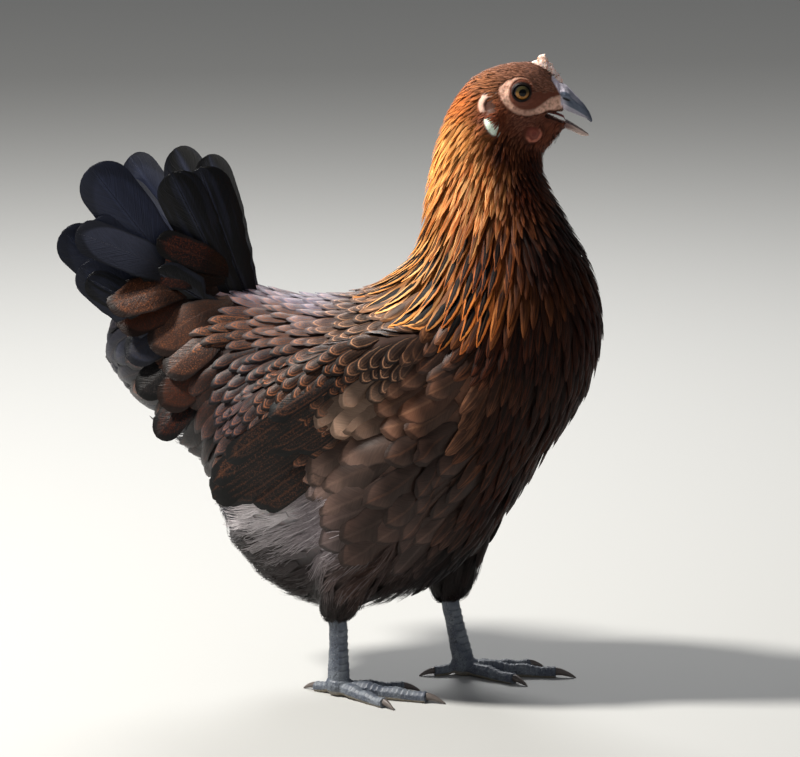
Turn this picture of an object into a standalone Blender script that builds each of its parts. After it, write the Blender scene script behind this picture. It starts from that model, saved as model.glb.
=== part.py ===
"""A life-size walking hen, as a still museum model.

Metres, +Z up. The hen faces +X, its left side is +Y, and it stands on the plane z = 0 with the
origin under the middle of its bounding box.

The plumage is modelled as the solid outer form of the coat. Head, neck, trunk and tail root come
from one long loft, so that the outline runs through them without a step, and are parted by thin
flat cuts. Wings, thighs, tail feathers, comb, bill and the rest are lofts of their own, trimmed
with a small clearance where they meet the body.
"""

import math

import bmesh
import bpy
from mathutils import Matrix, Vector

MM = 0.001
LEFT, RIGHT = 1, -1
SIDE_NAMES = {LEFT: "left", RIGHT: "right"}

CLEARANCE = 0.35 * MM
HALF_CUT = 0.2 * MM
FLAT_SINK = 0.5 * MM

HEAD_YAW = math.radians(15)
HEAD_PIVOT_X = 78 * MM

BODY_SIDES = 22
WING_SIDES = 14
LIMB_SIDES = 12
SMALL_SIDES = 8
SLIM_SIDES = 6

# The stations of the body, from the tail root to the root of the bill. Each has a point on the
# upper outline and one on the lower outline, as (x, z) in mm, the half width between them, and
# how far down the section is widest, as a share of its depth.
BODY_STATIONS = (
    ("tail tip", (-168, 228), (-168, 202), 10, 0.50),
    ("under tail", (-154, 250), (-151, 180), 26, 0.50),
    ("rump", (-129, 263), (-127, 155), 42, 0.50),
    ("vent", (-98, 262), (-97, 133), 56, 0.46),
    ("abdomen", (-68, 257), (-82, 85), 66, 0.48),
    ("loin", (-40, 254), (-49, 55), 72, 0.48),
    ("belly", (-12, 256), (-3, 47), 74, 0.46),
    ("keel", (9, 263), (42, 61), 71, 0.45),
    ("lower breast", (22, 272), (83, 95), 67, 0.47),
    ("breast", (30, 280), (123, 154), 62, 0.50),
    ("full breast", (36, 288), (151, 198), 57, 0.52),
    ("crop", (39, 298), (160, 239), 51, 0.52),
    ("neck root", (41, 308), (153, 276), 44, 0.50),
    ("lower neck", (42, 319), (140, 300), 38, 0.50),
    ("middle neck", (45, 332), (128, 321), 32, 0.50),
    ("upper neck", (49, 351), (120, 337), 27, 0.50),
    ("nape", (57, 374.5), (119.5, 344.5), 21.5, 0.47),
    ("crown", (72.5, 397), (120, 350), 18.5, 0.44),
    ("brow", (91.5, 406), (123, 353.5), 16.5, 0.42),
    ("forehead", (109, 408), (126.5, 358), 13.5, 0.43),
    ("face", (120.5, 404), (129.5, 362), 10.5, 0.45),
    ("bill root", (127.5, 397), (133.5, 366.5), 8, 0.48),
)
YAW_STARTS, YAW_ENDS = "neck root", "nape"
TAIL_CUT, NECK_CUT, HEAD_CUT = "rump", "neck root", "nape"

EYE_RADIUS = 7 * MM
EYE_PLACE = Vector((105, 11.5, 391)) * MM

WING_STATIONS = (
    # share of the length, rise above the line of the wing, half height, half thickness, distance
    # from the middle plane, lean inwards at the top in degrees
    (0.00, 0, 10, 8, 50, 22),
    (0.12, 3, 24, 15, 54, 22),
    (0.32, 8, 36, 20, 59, 20),
    (0.55, 11, 37, 20, 61, 16),
    (0.75, 15, 29, 14, 62, 10),
    (0.90, 12, 17, 8, 62, 4),
    (1.00, 4, 6, 3.5, 60, 0),
)
WING_SHOULDER = Vector((62, 0, 240)) * MM
WING_TIP = Vector((-76, 0, 122)) * MM

# Thigh stations, from the flank down to the hock: share of the length, half depth from front
# to back, half width, distance from the middle plane.
THIGH_STATIONS = (
    (0.00, 16, 10, 56),
    (0.14, 34, 21, 57),
    (0.38, 41, 27, 54),
    (0.62, 33, 25, 48),
    (0.82, 22, 18, 42),
    (0.94, 15, 13, 39),
    (1.00, 9, 8, 38),
)
FLANK_HEIGHT = 190 * MM
THIGH_END_HEIGHT = 47 * MM

# Each leg: x of the flank, of the thigh's lower end, of the hock and of the ankle.
LEGS = {
    RIGHT: {"flank": 42 * MM, "end": -6 * MM, "hock": -4 * MM, "ankle": -4 * MM, "turn": -4},
    LEFT: {"flank": 56 * MM, "end": 49 * MM, "hock": 42 * MM, "ankle": 59 * MM, "turn": 5},
}
STANCE_HALF_WIDTH = 38 * MM
HOCK_HEIGHT = 80 * MM
ANKLE_HEIGHT = 9 * MM
KNUCKLE_REACH = 20.5 * MM

TOES = (
    # name, direction outwards in degrees, length, joints, radius at root and end, claw length
    ("inner", -30, 42, 2, 5.0, 3.6, 11),
    ("middle", 2, 60, 3, 5.4, 3.7, 13),
    ("outer", 32, 46, 3, 4.8, 3.3, 10),
    ("hind", -160, 19, 1, 4.4, 3.2, 10),
)
# How high the toes leave the foot, above where they lie flat on the ground.
HIND_TOE_RISE = 5 * MM
FRONT_TOE_RISE = 2 * MM
FOOT_PAD = Vector((8.6, 7.8, 7.2)) * MM
FOOT_PAD_HEIGHT = 6.6 * MM
CLAW_TIP_HEIGHT = 0.15 * MM

# The tail feathers grow from a slanting line, and each half of the fan leans outwards.
TAIL_ROOT = Vector((-66, 0, 226)) * MM
TAIL_ROOT_BACK = 41 * MM
TAIL_ROOT_DROP = 20 * MM
TAIL_SPLAY = math.radians(21)
TAIL_LAYER = 2.1 * MM
TAIL_THICKNESS = 1.2 * MM
TAIL_FEATHERS = {
    # place along the root line, angle above the horizon in degrees, length and half width in mm
    RIGHT: (
        (0.00, 70, 116, 19),
        (0.12, 64, 121, 18),
        (0.45, 53, 151, 21),
        (0.62, 47, 122, 18),
        (0.85, 43.5, 128, 17),
        (1.00, 42, 102, 15),
    ),
    LEFT: (
        (0.00, 68, 120, 19),
        (0.05, 58, 134, 21),
        (0.30, 47.5, 148, 19),
        (0.50, 44, 136, 18),
        (0.70, 40, 130, 17),
        (1.00, 38, 106, 15),
    ),
}
TAIL_COVERTS = (
    (0.55, 30, 104, 13),
    (0.20, 40, 78, 15),
)


# ---------------------------------------------------------------- helpers


def material(name, colour, roughness, metallic=0.0):
    """A Principled material, made once for each name."""
    found = bpy.data.materials.get(name)
    if found:
        return found
    made = bpy.data.materials.new(name)
    made.use_nodes = True
    shader = made.node_tree.nodes["Principled BSDF"]
    shader.inputs["Base Color"].default_value = (*colour, 1)
    shader.inputs["Roughness"].default_value = roughness
    shader.inputs["Metallic"].default_value = metallic
    return made


def plumage(name, colour):
    return material(name, colour, 0.62)


def collection(name):
    found = bpy.data.collections.get(name)
    if not found:
        found = bpy.data.collections.new(name)
        bpy.context.scene.collection.children.link(found)
    return found


def add_object(name, mesh, finish):
    made = bpy.data.objects.new(name, mesh)
    collection("hen").objects.link(made)
    mesh.materials.append(finish)
    mesh.shade_smooth()
    return made


def add_helper(name, mesh):
    """An object that only shapes others: it is kept out of renders."""
    made = bpy.data.objects.new(name, mesh)
    collection("cutters").objects.link(made)
    made.hide_render = True
    made.display_type = "WIRE"
    return made


def blended(rows, steps):
    """Rows of numbers on a smooth Catmull-Rom curve through the given rows."""
    last = len(rows) - 1
    made = []
    for i in range(last):
        a, b = rows[max(i - 1, 0)], rows[i]
        c, d = rows[i + 1], rows[min(i + 2, last)]
        for k in range(steps):
            t = k / steps
            made.append(
                tuple(
                    0.5 * (2 * q + (r - p) * t + (2 * p - 5 * q + 4 * r - s) * t**2
                           + (3 * q - p - 3 * r + s) * t**3)
                    for p, q, r, s in zip(a, b, c, d)
                )
            )
    return made + [tuple(rows[last])]


def ring(top, bottom, across, level=0.5, sides=LIMB_SIDES):
    """A closed section through top and bottom, half as wide as across is long, widest at level."""
    middle = top.lerp(bottom, level)
    points = []
    for k in range(sides):
        turn = 2 * math.pi * (k + 0.5) / sides
        reach = top - middle if math.cos(turn) > 0 else middle - bottom
        points.append(middle + reach * math.cos(turn) + across * math.sin(turn))
    return points


def lofted(name, rings):
    """A closed mesh through rings of points, each end closed with one face."""
    bm = bmesh.new()
    rows = [[bm.verts.new(point) for point in points] for points in rings]
    sides = len(rows[0])
    for row, after in zip(rows, rows[1:]):
        for k in range(sides):
            n = (k + 1) % sides
            bm.faces.new((row[k], row[n], after[n], after[k]))
    bm.faces.new(list(reversed(rows[0])))
    bm.faces.new(rows[-1])
    bmesh.ops.recalc_face_normals(bm, faces=bm.faces)
    mesh = bpy.data.meshes.new(name)
    bm.to_mesh(mesh)
    bm.free()
    return mesh


def evaluated_mesh(source, name):
    bpy.context.view_layer.update()
    graph = bpy.context.evaluated_depsgraph_get()
    return bpy.data.meshes.new_from_object(source.evaluated_get(graph), depsgraph=graph)


def inflated(name, mesh, distance=CLEARANCE):
    """A helper that is the mesh grown by a distance, to trim neighbours with."""
    made = add_helper(name, mesh.copy())
    grow = made.modifiers.new("grow", "DISPLACE")
    grow.mid_level = 0
    grow.strength = distance
    return made


def combine(target, other, operation="DIFFERENCE"):
    step = target.modifiers.new(f"{operation.lower()} {other.name}", "BOOLEAN")
    step.operation = operation
    step.object = other
    step.solver = "EXACT"


def box_helper(name, low, high):
    bm = bmesh.new()
    bmesh.ops.create_cube(bm, size=1)
    size = Vector(high) - Vector(low)
    bmesh.ops.scale(bm, vec=size, verts=bm.verts)
    bmesh.ops.translate(bm, vec=Vector(low) + size / 2, verts=bm.verts)
    mesh = bpy.data.meshes.new(name)
    bm.to_mesh(mesh)
    bm.free()
    return add_helper(name, mesh)


def head_turn(share=1.0):
    """The turn of the head, or a share of it, about the upright line through the head pivot."""
    pivot = Matrix.Translation((HEAD_PIVOT_X, 0, 0))
    return pivot @ Matrix.Rotation(HEAD_YAW * share, 4, "Z") @ pivot.inverted()


# ---------------------------------------------------------------- body


def station_index(name):
    return [row[0] for row in BODY_STATIONS].index(name)


def yaw_share(position):
    """How much of the head's turn a place along the stations has, eased in and out."""
    start, end = station_index(YAW_STARTS), station_index(YAW_ENDS)
    t = min(max((position - start) / (end - start), 0), 1)
    return t * t * (3 - 2 * t)


def station_ends(row, position):
    """The top point, bottom point and half-width vector of a body section."""
    top_x, top_z, bottom_x, bottom_z, half_width = (value * MM for value in row[:5])
    turn = head_turn(yaw_share(position))
    top = turn @ Vector((top_x, 0, top_z))
    bottom = turn @ Vector((bottom_x, 0, bottom_z))
    across = turn.to_3x3() @ Vector((0, half_width, 0))
    return top, bottom, across


def body_form():
    """The whole outline of tail root, trunk, neck and head as one closed mesh."""
    steps = 2
    rows = blended([(*top, *low, wide, level) for _, top, low, wide, level in BODY_STATIONS], steps)
    rings = []
    for i, row in enumerate(rows):
        top, bottom, across = station_ends(row, i / steps)
        rings.append(ring(top, bottom, across, row[5], BODY_SIDES))
    return lofted("body_form", rings)


def station_plane(name):
    """A point on the named section's plane and the normal that points towards the head."""
    position = station_index(name)
    _, top, low, wide, level = BODY_STATIONS[position]
    top, bottom, across = station_ends((*top, *low, wide, level), position)
    return top, (bottom - top).cross(across).normalized()


def sliced(mesh, name, behind=None, ahead=None):
    """The part of the mesh between the planes of two named sections, each closed with a face."""
    bm = bmesh.new()
    bm.from_mesh(mesh)
    for section, keeps_ahead in ((behind, True), (ahead, False)):
        if section is None:
            continue
        point, normal = station_plane(section)
        offset = normal * (HALF_CUT if keeps_ahead else -HALF_CUT)
        cut = bmesh.ops.bisect_plane(
            bm,
            geom=bm.verts[:] + bm.edges[:] + bm.faces[:],
            plane_co=point + offset,
            plane_no=normal,
            clear_inner=keeps_ahead,
            clear_outer=not keeps_ahead,
        )
        rim = [item for item in cut["geom_cut"] if isinstance(item, bmesh.types.BMEdge)]
        bmesh.ops.edgeloop_fill(bm, edges=rim)
    bmesh.ops.recalc_face_normals(bm, faces=bm.faces)
    made = bpy.data.meshes.new(name)
    bm.to_mesh(made)
    bm.free()
    return made


def make_body(form):
    feather = plumage("body_feather", (0.07, 0.04, 0.027))
    hackle = plumage("hackle_feather", (0.40, 0.16, 0.05))
    add_object("tail_root", sliced(form, "tail_root", ahead=TAIL_CUT), feather)
    add_object("trunk", sliced(form, "trunk", behind=TAIL_CUT, ahead=NECK_CUT), feather)
    add_object("neck", sliced(form, "neck", behind=NECK_CUT, ahead=HEAD_CUT), hackle)
    face = plumage("face_skin", (0.34, 0.13, 0.09))
    return add_object("head", sliced(form, "head", behind=HEAD_CUT), face)


# ---------------------------------------------------------------- head parts


def upright_rings(rows, steps, sides=SMALL_SIDES):
    """Rings from rows of top x, top z, bottom x, bottom z and half width, in mm."""
    rings = []
    for top_x, top_z, bottom_x, bottom_z, half_width in blended(rows, steps):
        top = Vector((top_x, 0, top_z)) * MM
        bottom = Vector((bottom_x, 0, bottom_z)) * MM
        rings.append(ring(top, bottom, Vector((0, half_width * MM, 0)), 0.5, sides))
    return rings


def make_eye(side, head):
    """An eyeball in a socket, with only its front showing."""
    place = head_turn() @ (EYE_PLACE * Vector((1, side, 1)))
    for radius, name in ((EYE_RADIUS, None), (EYE_RADIUS + CLEARANCE, "eye_socket")):
        bm = bmesh.new()
        bmesh.ops.create_uvsphere(bm, u_segments=12, v_segments=8, radius=radius)
        facing = Matrix.Rotation(math.radians(90), 4, "X")
        bmesh.ops.transform(bm, matrix=Matrix.Translation(place) @ facing, verts=bm.verts)
        mesh = bpy.data.meshes.new("eye")
        bm.to_mesh(mesh)
        bm.free()
        if name:
            combine(head, add_helper(f"{name}_{SIDE_NAMES[side]}", mesh))
        else:
            add_object(f"eye_{SIDE_NAMES[side]}", mesh, material("eye", (0.12, 0.09, 0.02), 0.1))


def make_bill(head, body_clear):
    """The open bill: a hooked upper half, a slim lower half that droops, and the tongue."""
    horn = material("bill_horn", (0.17, 0.17, 0.19), 0.35)
    # Each row is the top x and z, the bottom x and z, and the half width, in mm.
    upper_rows = (
        (119.8, 397.6, 116.8, 378.4, 7.8),
        (126.8, 396.6, 123.8, 378.2, 7.6),
        (133.3, 393.6, 129.8, 377.8, 6.8),
        (138.8, 387.8, 135.8, 375.8, 5.5),
        (143.8, 382.4, 141.3, 373.6, 4.1),
        (148.1, 376.2, 146.4, 371.5, 2.5),
        (150.2, 370.2, 149.2, 369.0, 0.8),
    )
    lower_rows = (
        (116.1, 374.8, 120.1, 368.8, 6.6),
        (123.1, 374.6, 126.1, 368.6, 6.2),
        (130.1, 372.8, 132.1, 366.8, 5.4),
        (137.1, 369.0, 138.1, 364.6, 4.2),
        (143.1, 365.2, 143.1, 362.0, 2.8),
        (147.9, 361.6, 147.5, 360.6, 1),
    )
    tongue_rows = (
        (119.3, 377.3, 119.3, 375.6, 2.8),
        (126.8, 375.8, 126.8, 374.3, 2.7),
        (133.8, 372.7, 133.8, 371.5, 2),
        (139.3, 369.8, 139.3, 369.0, 0.9),
    )
    gape_rows = (
        (113, 375.0, 113, 374.0, 5),
        (119.8, 378.0, 119.8, 373.3, 13),
        (128.8, 377.8, 128.8, 370.6, 14),
        (140.8, 375.6, 140.8, 365.6, 14),
    )
    turn = head_turn()
    gape = add_helper("gape", lofted("gape", upright_rings(gape_rows, 1)))
    gape.data.transform(turn)
    combine(head, gape)
    bill_clear = []
    for name, rows in (("bill_upper", upper_rows), ("bill_lower", lower_rows)):
        form = lofted(name, upright_rings(rows, 2))
        form.transform(turn)
        bill_clear.append(inflated(f"{name}_clear", form))
        combine(add_object(name, form, horn), body_clear)
    tongue = lofted("tongue", upright_rings(tongue_rows, 2, 8))
    tongue.transform(turn)
    add_object("tongue", tongue, material("tongue", (0.30, 0.09, 0.08), 0.4))
    return bill_clear


def make_comb(neighbours):
    """The small single comb of a young hen, with a few low points."""
    points = ((110.6, 403.4), (112.6, 408.2), (114.6, 409.2), (117.4, 413.0), (120.2, 413.4),
              (122.0, 407.2), (124.2, 407.4), (126.4, 402.6), (128.6, 400.6), (132, 394.8))
    rows = []
    for i, (x, z) in enumerate(points):
        share = i / (len(points) - 1)
        rows.append((x, z, x, 400 - 14 * share**1.6, 1.3 + 1.5 * math.sin(math.pi * share)))
    comb = lofted("comb", upright_rings(rows, 1, 8))
    comb.transform(head_turn())
    comb = add_object("comb", comb, material("comb_skin", (0.62, 0.34, 0.28), 0.5))
    for neighbour in neighbours:
        combine(comb, neighbour)


def make_lobe(name, side, place, half_sizes, lean, finish, neighbours):
    """A flat rounded flap of skin on the side of the head."""
    bm = bmesh.new()
    bmesh.ops.create_uvsphere(bm, u_segments=12, v_segments=8, radius=1)
    bmesh.ops.scale(bm, vec=Vector(half_sizes) * MM, verts=bm.verts)
    bmesh.ops.rotate(bm, matrix=Matrix.Rotation(math.radians(lean), 3, "Y"), verts=bm.verts)
    bmesh.ops.translate(bm, vec=Vector((place[0], side * place[1], place[2])) * MM, verts=bm.verts)
    mesh = bpy.data.meshes.new(name)
    bm.to_mesh(mesh)
    bm.free()
    mesh.transform(head_turn())
    made = add_object(f"{name}_{SIDE_NAMES[side]}", mesh, finish)
    for neighbour in neighbours:
        combine(made, neighbour)


def make_head_parts(head, body_clear):
    upper_clear, lower_clear = make_bill(head, body_clear)
    make_comb((body_clear, upper_clear))
    pale = material("lobe_skin", (0.62, 0.70, 0.60), 0.55)
    red = material("wattle_skin", (0.36, 0.13, 0.10), 0.5)
    for side in (LEFT, RIGHT):
        make_eye(side, head)
        make_lobe("earlobe", side, (86, 19.2, 371), (5.0, 3.2, 7.4), 30, pale, (body_clear,))
        make_lobe("wattle", side, (110, 12.6, 364.5), (7.4, 3.2, 5.2), -28, red, (body_clear, lower_clear))


# ---------------------------------------------------------------- wings and legs


def wing_mesh(side):
    """The folded wing, from the shoulder down to the tip of its longest feathers."""
    along = WING_TIP - WING_SHOULDER
    rise = Vector((-along.z, 0, along.x)).normalized()
    rise = rise if rise.z > 0 else -rise
    rings = []
    for share, lift, height, thickness, out, lean in blended(WING_STATIONS, 2):
        middle = WING_SHOULDER + along * share + rise * lift * MM
        middle.y = side * out * MM
        outwards = Vector((0, side, 0))
        tilt = Matrix.Rotation(math.radians(lean) * side, 3, along.normalized())
        up = tilt @ rise * height * MM
        rings.append(ring(middle + up, middle - up, tilt @ outwards * thickness * MM, 0.5, WING_SIDES))
    return lofted("wing", rings)


def thigh_mesh(side):
    """The feathered flank and thigh, down to where the bare shank comes out."""
    leg = LEGS[side]
    top = Vector((leg["flank"], 0, FLANK_HEIGHT))
    end = Vector((leg["end"], 0, THIGH_END_HEIGHT))
    rings = []
    for share, depth, width, out in blended(THIGH_STATIONS, 2):
        middle = top.lerp(end, share)
        middle.y = side * out * MM
        reach = Vector((depth * MM, 0, 0))
        rings.append(ring(middle + reach, middle - reach, Vector((0, width * MM, 0))))
    return lofted("thigh", rings)


def shank_mesh(side):
    """The bare scaly shank, thicker at the hock and above the toes."""
    leg = LEGS[side]
    hock = Vector((leg["hock"], side * (STANCE_HALF_WIDTH + 1 * MM), HOCK_HEIGHT))
    ankle = Vector((leg["ankle"], side * STANCE_HALF_WIDTH, ANKLE_HEIGHT))
    rows = ((0, 8.5, 7.0), (0.12, 8.0, 6.6), (0.35, 6.2, 5.2), (0.65, 5.8, 4.9), (0.86, 6.6, 6.0),
            (1, 6.8, 6.6))
    rings = []
    for share, depth, width in blended(rows, 2):
        middle = hock.lerp(ankle, share)
        reach = Vector((depth * MM, 0, 0))
        rings.append(ring(middle + reach, middle - reach, Vector((0, width * MM, 0))))
    return lofted("shank", rings)


def toe_frame(side, direction):
    """The ankle of a leg and the heading of one of its toes."""
    leg = LEGS[side]
    heading = math.radians(leg["turn"] + side * direction)
    ankle = Vector((leg["ankle"], side * STANCE_HALF_WIDTH, 0))
    return ankle, Vector((math.cos(heading), math.sin(heading), 0))


def toe_mesh(side, direction, length, joints, root, end, raised):
    """A toe with a pad under each joint, its sole a little below the floor to be cut flat."""
    ankle, heading = toe_frame(side, direction)
    across = Vector((-heading.y, heading.x, 0))
    rings = []
    steps = 4 * joints
    for k in range(steps + 1):
        share = k / steps
        radius = (root + (end - root) * share) * MM
        radius *= 1 + 0.09 * math.cos(2 * math.pi * joints * share)
        lift = raised * (1 - share) ** 2
        middle = ankle + heading * length * MM * share
        middle.z = radius * 0.95 - FLAT_SINK + lift
        reach = Vector((0, 0, radius * 0.95))
        rings.append(ring(middle + reach, middle - reach, across * radius, 0.5, SMALL_SIDES))
    return lofted("toe", rings)


def claw_mesh(side, direction, start, radius, length):
    """A claw that curves from the toe's end down to the floor, where its tip rests."""
    ankle, heading = toe_frame(side, direction)
    across = Vector((-heading.y, heading.x, 0))
    root_height = radius * MM * 0.95 + 0.6 * MM
    rings = []
    steps = 5
    for k in range(steps + 1):
        share = k / steps
        size = radius * MM * (1 - share) ** 0.8 * 0.74 + 0.35 * MM
        middle = ankle + heading * (start + length * share) * MM
        middle.z = root_height + (CLAW_TIP_HEIGHT - root_height) * share**1.7
        reach = heading * size * 0.35 * share + Vector((0, 0, size * 0.9))
        rings.append(ring(middle + reach, middle - reach, across * size * 0.8, 0.5, SLIM_SIDES))
    return lofted("claw", rings)


def knuckle_cutter(side, name, grown):
    """An upright round cutter about the ankle, that parts the toes from the foot."""
    bm = bmesh.new()
    bmesh.ops.create_cone(
        bm,
        cap_ends=True,
        segments=24,
        radius1=KNUCKLE_REACH + grown,
        radius2=KNUCKLE_REACH + grown,
        depth=60 * MM,
    )
    place = Vector((LEGS[side]["ankle"], side * STANCE_HALF_WIDTH, 0))
    bmesh.ops.translate(bm, vec=place, verts=bm.verts)
    mesh = bpy.data.meshes.new(name)
    bm.to_mesh(mesh)
    bm.free()
    return add_helper(name, mesh)


def make_foot(side, floor):
    """The foot with the roots of the toes and the hind toe, then the front toes and the claws."""
    scale = material("leg_scale", (0.16, 0.17, 0.20), 0.5)
    horn = material("claw_horn", (0.22, 0.20, 0.19), 0.4)
    name = SIDE_NAMES[side]
    bm = bmesh.new()
    bmesh.ops.create_uvsphere(bm, u_segments=12, v_segments=8, radius=1)
    bmesh.ops.scale(bm, vec=FOOT_PAD, verts=bm.verts)
    place = Vector((LEGS[side]["ankle"], side * STANCE_HALF_WIDTH, FOOT_PAD_HEIGHT))
    bmesh.ops.translate(bm, vec=place, verts=bm.verts)
    mesh = bpy.data.meshes.new(f"foot_{name}")
    bm.to_mesh(mesh)
    bm.free()
    foot = add_object(f"foot_{name}", mesh, scale)
    inside = knuckle_cutter(side, f"knuckles_{name}", 0)
    outside = knuckle_cutter(side, f"knuckles_clear_{name}", CLEARANCE)
    for toe, direction, length, joints, root, end, claw_length in TOES:
        raised = HIND_TOE_RISE if toe == "hind" else FRONT_TOE_RISE
        body = toe_mesh(side, direction, length, joints, root, end, raised)
        combine(foot, add_helper(f"toe_{toe}_{name}_form", body), "UNION")
        if toe != "hind":
            front = add_object(f"toe_{toe}_{name}", body.copy(), scale)
            combine(front, outside)
            combine(front, floor)
        claw = claw_mesh(side, direction, length + CLEARANCE / MM, end, claw_length)
        combine(add_object(f"claw_{toe}_{name}", claw, horn), floor)
    combine(foot, inside, "INTERSECT")
    combine(foot, floor)
    return foot


def make_leg(side, body_clear, floor):
    name = SIDE_NAMES[side]
    thigh_form = thigh_mesh(side)
    thigh_clear = inflated(f"thigh_clear_{name}", thigh_form)
    fluff = plumage("thigh_feather", (0.09, 0.055, 0.04))
    thigh = add_object(f"thigh_{name}", thigh_form, fluff)
    combine(thigh, body_clear)
    foot = make_foot(side, floor)
    foot_clear = inflated(f"foot_clear_{name}", evaluated_mesh(foot, "foot"))
    scale = material("leg_scale", (0.16, 0.17, 0.20), 0.5)
    shank = add_object(f"shank_{name}", shank_mesh(side), scale)
    for neighbour in (thigh_clear, foot_clear):
        combine(shank, neighbour)
    return thigh_clear


def make_wing(side, body_clear, thigh_clear):
    finish = plumage("wing_feather", (0.10, 0.06, 0.045))
    wing = add_object(f"wing_{SIDE_NAMES[side]}", wing_mesh(side), finish)
    for neighbour in (body_clear, thigh_clear):
        combine(wing, neighbour)


# ---------------------------------------------------------------- tail


def blade_mesh(side, place, angle, length, half_width, layer):
    """One tail feather as a thin blade with a rounded end, in the plane of its half of the fan."""
    rise = math.radians(angle)
    flat = Vector((-math.cos(TAIL_SPLAY), side * math.sin(TAIL_SPLAY), 0))
    along = flat * math.cos(rise) + Vector((0, 0, math.sin(rise)))
    wide = flat * -math.sin(rise) + Vector((0, 0, math.cos(rise)))
    outwards = Vector((math.sin(TAIL_SPLAY), side * math.cos(TAIL_SPLAY), 0))
    start = TAIL_ROOT + outwards * (4 * MM + layer * TAIL_LAYER)
    start += (flat * TAIL_ROOT_BACK - Vector((0, 0, TAIL_ROOT_DROP))) * place
    profile = (
        (0.0, 0.25),
        (0.25, 0.42),
        (0.5, 0.72),
        (0.72, 0.96),
        (0.86, 1.0),
        (0.95, 0.74),
        (1.0, 0.26),
    )
    rings = []
    for share, spread in blended(profile, 2)[1:]:
        middle = start + along * length * MM * share
        reach = wide * half_width * spread * MM
        thick = outwards * TAIL_THICKNESS / 2
        rings.append(ring(middle + reach, middle - reach, thick, 0.5, SLIM_SIDES))
    return lofted("tail_blade", rings)


def make_tail(body_clear):
    """The main tail feathers of both halves, the lower ones outside, and the longest coverts."""
    black = plumage("tail_feather", (0.012, 0.013, 0.018))
    for side in (LEFT, RIGHT):
        blades = [("tail_feather", i, row) for i, row in enumerate(TAIL_FEATHERS[side])]
        blades += [("tail_covert", i, row) for i, row in enumerate(TAIL_COVERTS)]
        for layer, (kind, i, row) in enumerate(blades):
            blade = blade_mesh(side, *row, layer)
            made = add_object(f"{kind}_{SIDE_NAMES[side]}_{i + 1}", blade, black)
            combine(made, body_clear)


# ---------------------------------------------------------------- the whole hen


def centre_over_origin():
    """Moves everything sideways, so that the origin is under the middle of the bounding box."""
    bpy.context.view_layer.update()
    graph = bpy.context.evaluated_depsgraph_get()
    corners = []
    for made in collection("hen").objects:
        corners += [made.matrix_world @ Vector(c) for c in made.evaluated_get(graph).bound_box]
    middle_x = (min(c.x for c in corners) + max(c.x for c in corners)) / 2
    middle_y = (min(c.y for c in corners) + max(c.y for c in corners)) / 2
    for made in bpy.data.objects:
        made.location.x -= middle_x
        made.location.y -= middle_y


def main():
    for old in list(bpy.data.objects):
        bpy.data.objects.remove(old)
    form = body_form()
    body_clear = inflated("body_clear", form)
    head = make_body(form)
    make_head_parts(head, body_clear)
    floor = box_helper("floor_cut", (-0.3, -0.3, -0.05), (0.3, 0.3, 0))
    for side in (LEFT, RIGHT):
        thigh_clear = make_leg(side, body_clear, floor)
        make_wing(side, body_clear, thigh_clear)
    make_tail(body_clear)
    centre_over_origin()


main()
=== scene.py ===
# %% [markdown]
# # A walking hen, life size
# This lesson dresses the plain solids of a hen in skin, scales, horn and feathers.
# The solids already stand at their real size and place, so they are loaded first and
# everything else is worked out from them.

import math

import bmesh
import bpy
import numpy as np
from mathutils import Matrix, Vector, noise
from mathutils.bvhtree import BVHTree
from mathutils.kdtree import KDTree


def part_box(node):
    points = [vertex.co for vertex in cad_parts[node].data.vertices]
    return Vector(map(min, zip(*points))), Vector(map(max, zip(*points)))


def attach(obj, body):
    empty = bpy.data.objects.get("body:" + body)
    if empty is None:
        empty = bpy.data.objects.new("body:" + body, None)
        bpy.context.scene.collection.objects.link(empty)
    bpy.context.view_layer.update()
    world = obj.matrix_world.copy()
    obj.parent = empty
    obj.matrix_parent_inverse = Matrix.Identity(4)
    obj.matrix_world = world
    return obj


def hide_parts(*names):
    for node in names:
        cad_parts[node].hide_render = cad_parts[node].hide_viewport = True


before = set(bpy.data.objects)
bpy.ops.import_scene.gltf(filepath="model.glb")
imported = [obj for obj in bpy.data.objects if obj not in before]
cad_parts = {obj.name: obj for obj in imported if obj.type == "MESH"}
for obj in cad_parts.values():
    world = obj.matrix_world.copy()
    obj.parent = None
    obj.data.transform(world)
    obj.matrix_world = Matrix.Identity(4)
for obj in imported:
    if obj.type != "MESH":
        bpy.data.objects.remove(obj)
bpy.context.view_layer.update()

# %% [markdown]
# Sizes on a bird are easiest to judge in millimetres, while Blender works in metres.
# Every chance in the plumage comes from one seeded source, so each run grows the same hen.

# %% Units and chance
MM = 0.001
LEFT, RIGHT = 1, -1
SIDE_NAMES = {LEFT: "left", RIGHT: "right"}
chance = np.random.default_rng(1883)


def tone(red, green, blue):
    """A colour as a paint chart gives it, 0 to 255, made linear as the shaders want it."""
    return np.power(np.array((red, green, blue)) / 255, 2.2)


def ease(value, start, end):
    """A smooth step from 0 at start to 1 at end."""
    t = np.clip((value - start) / (end - start), 0, 1)
    return t * t * (3 - 2 * t)


def unit(vectors):
    """The vectors at length 1."""
    return vectors / np.maximum(np.linalg.norm(vectors, axis=-1, keepdims=True), 1e-12)


def flattened(vectors, normals):
    """The vectors without the part that points along the normals."""
    return vectors - normals * (vectors * normals).sum(-1)[..., None]


# %% [markdown]
# The head is turned a little to the left, and the neck twists to follow it. The eyes tell how
# far: the line from the right eye to the left one is the head's own side axis. Undoing that twist
# gives straight coordinates, in which the left and right sides mirror each other.

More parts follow.
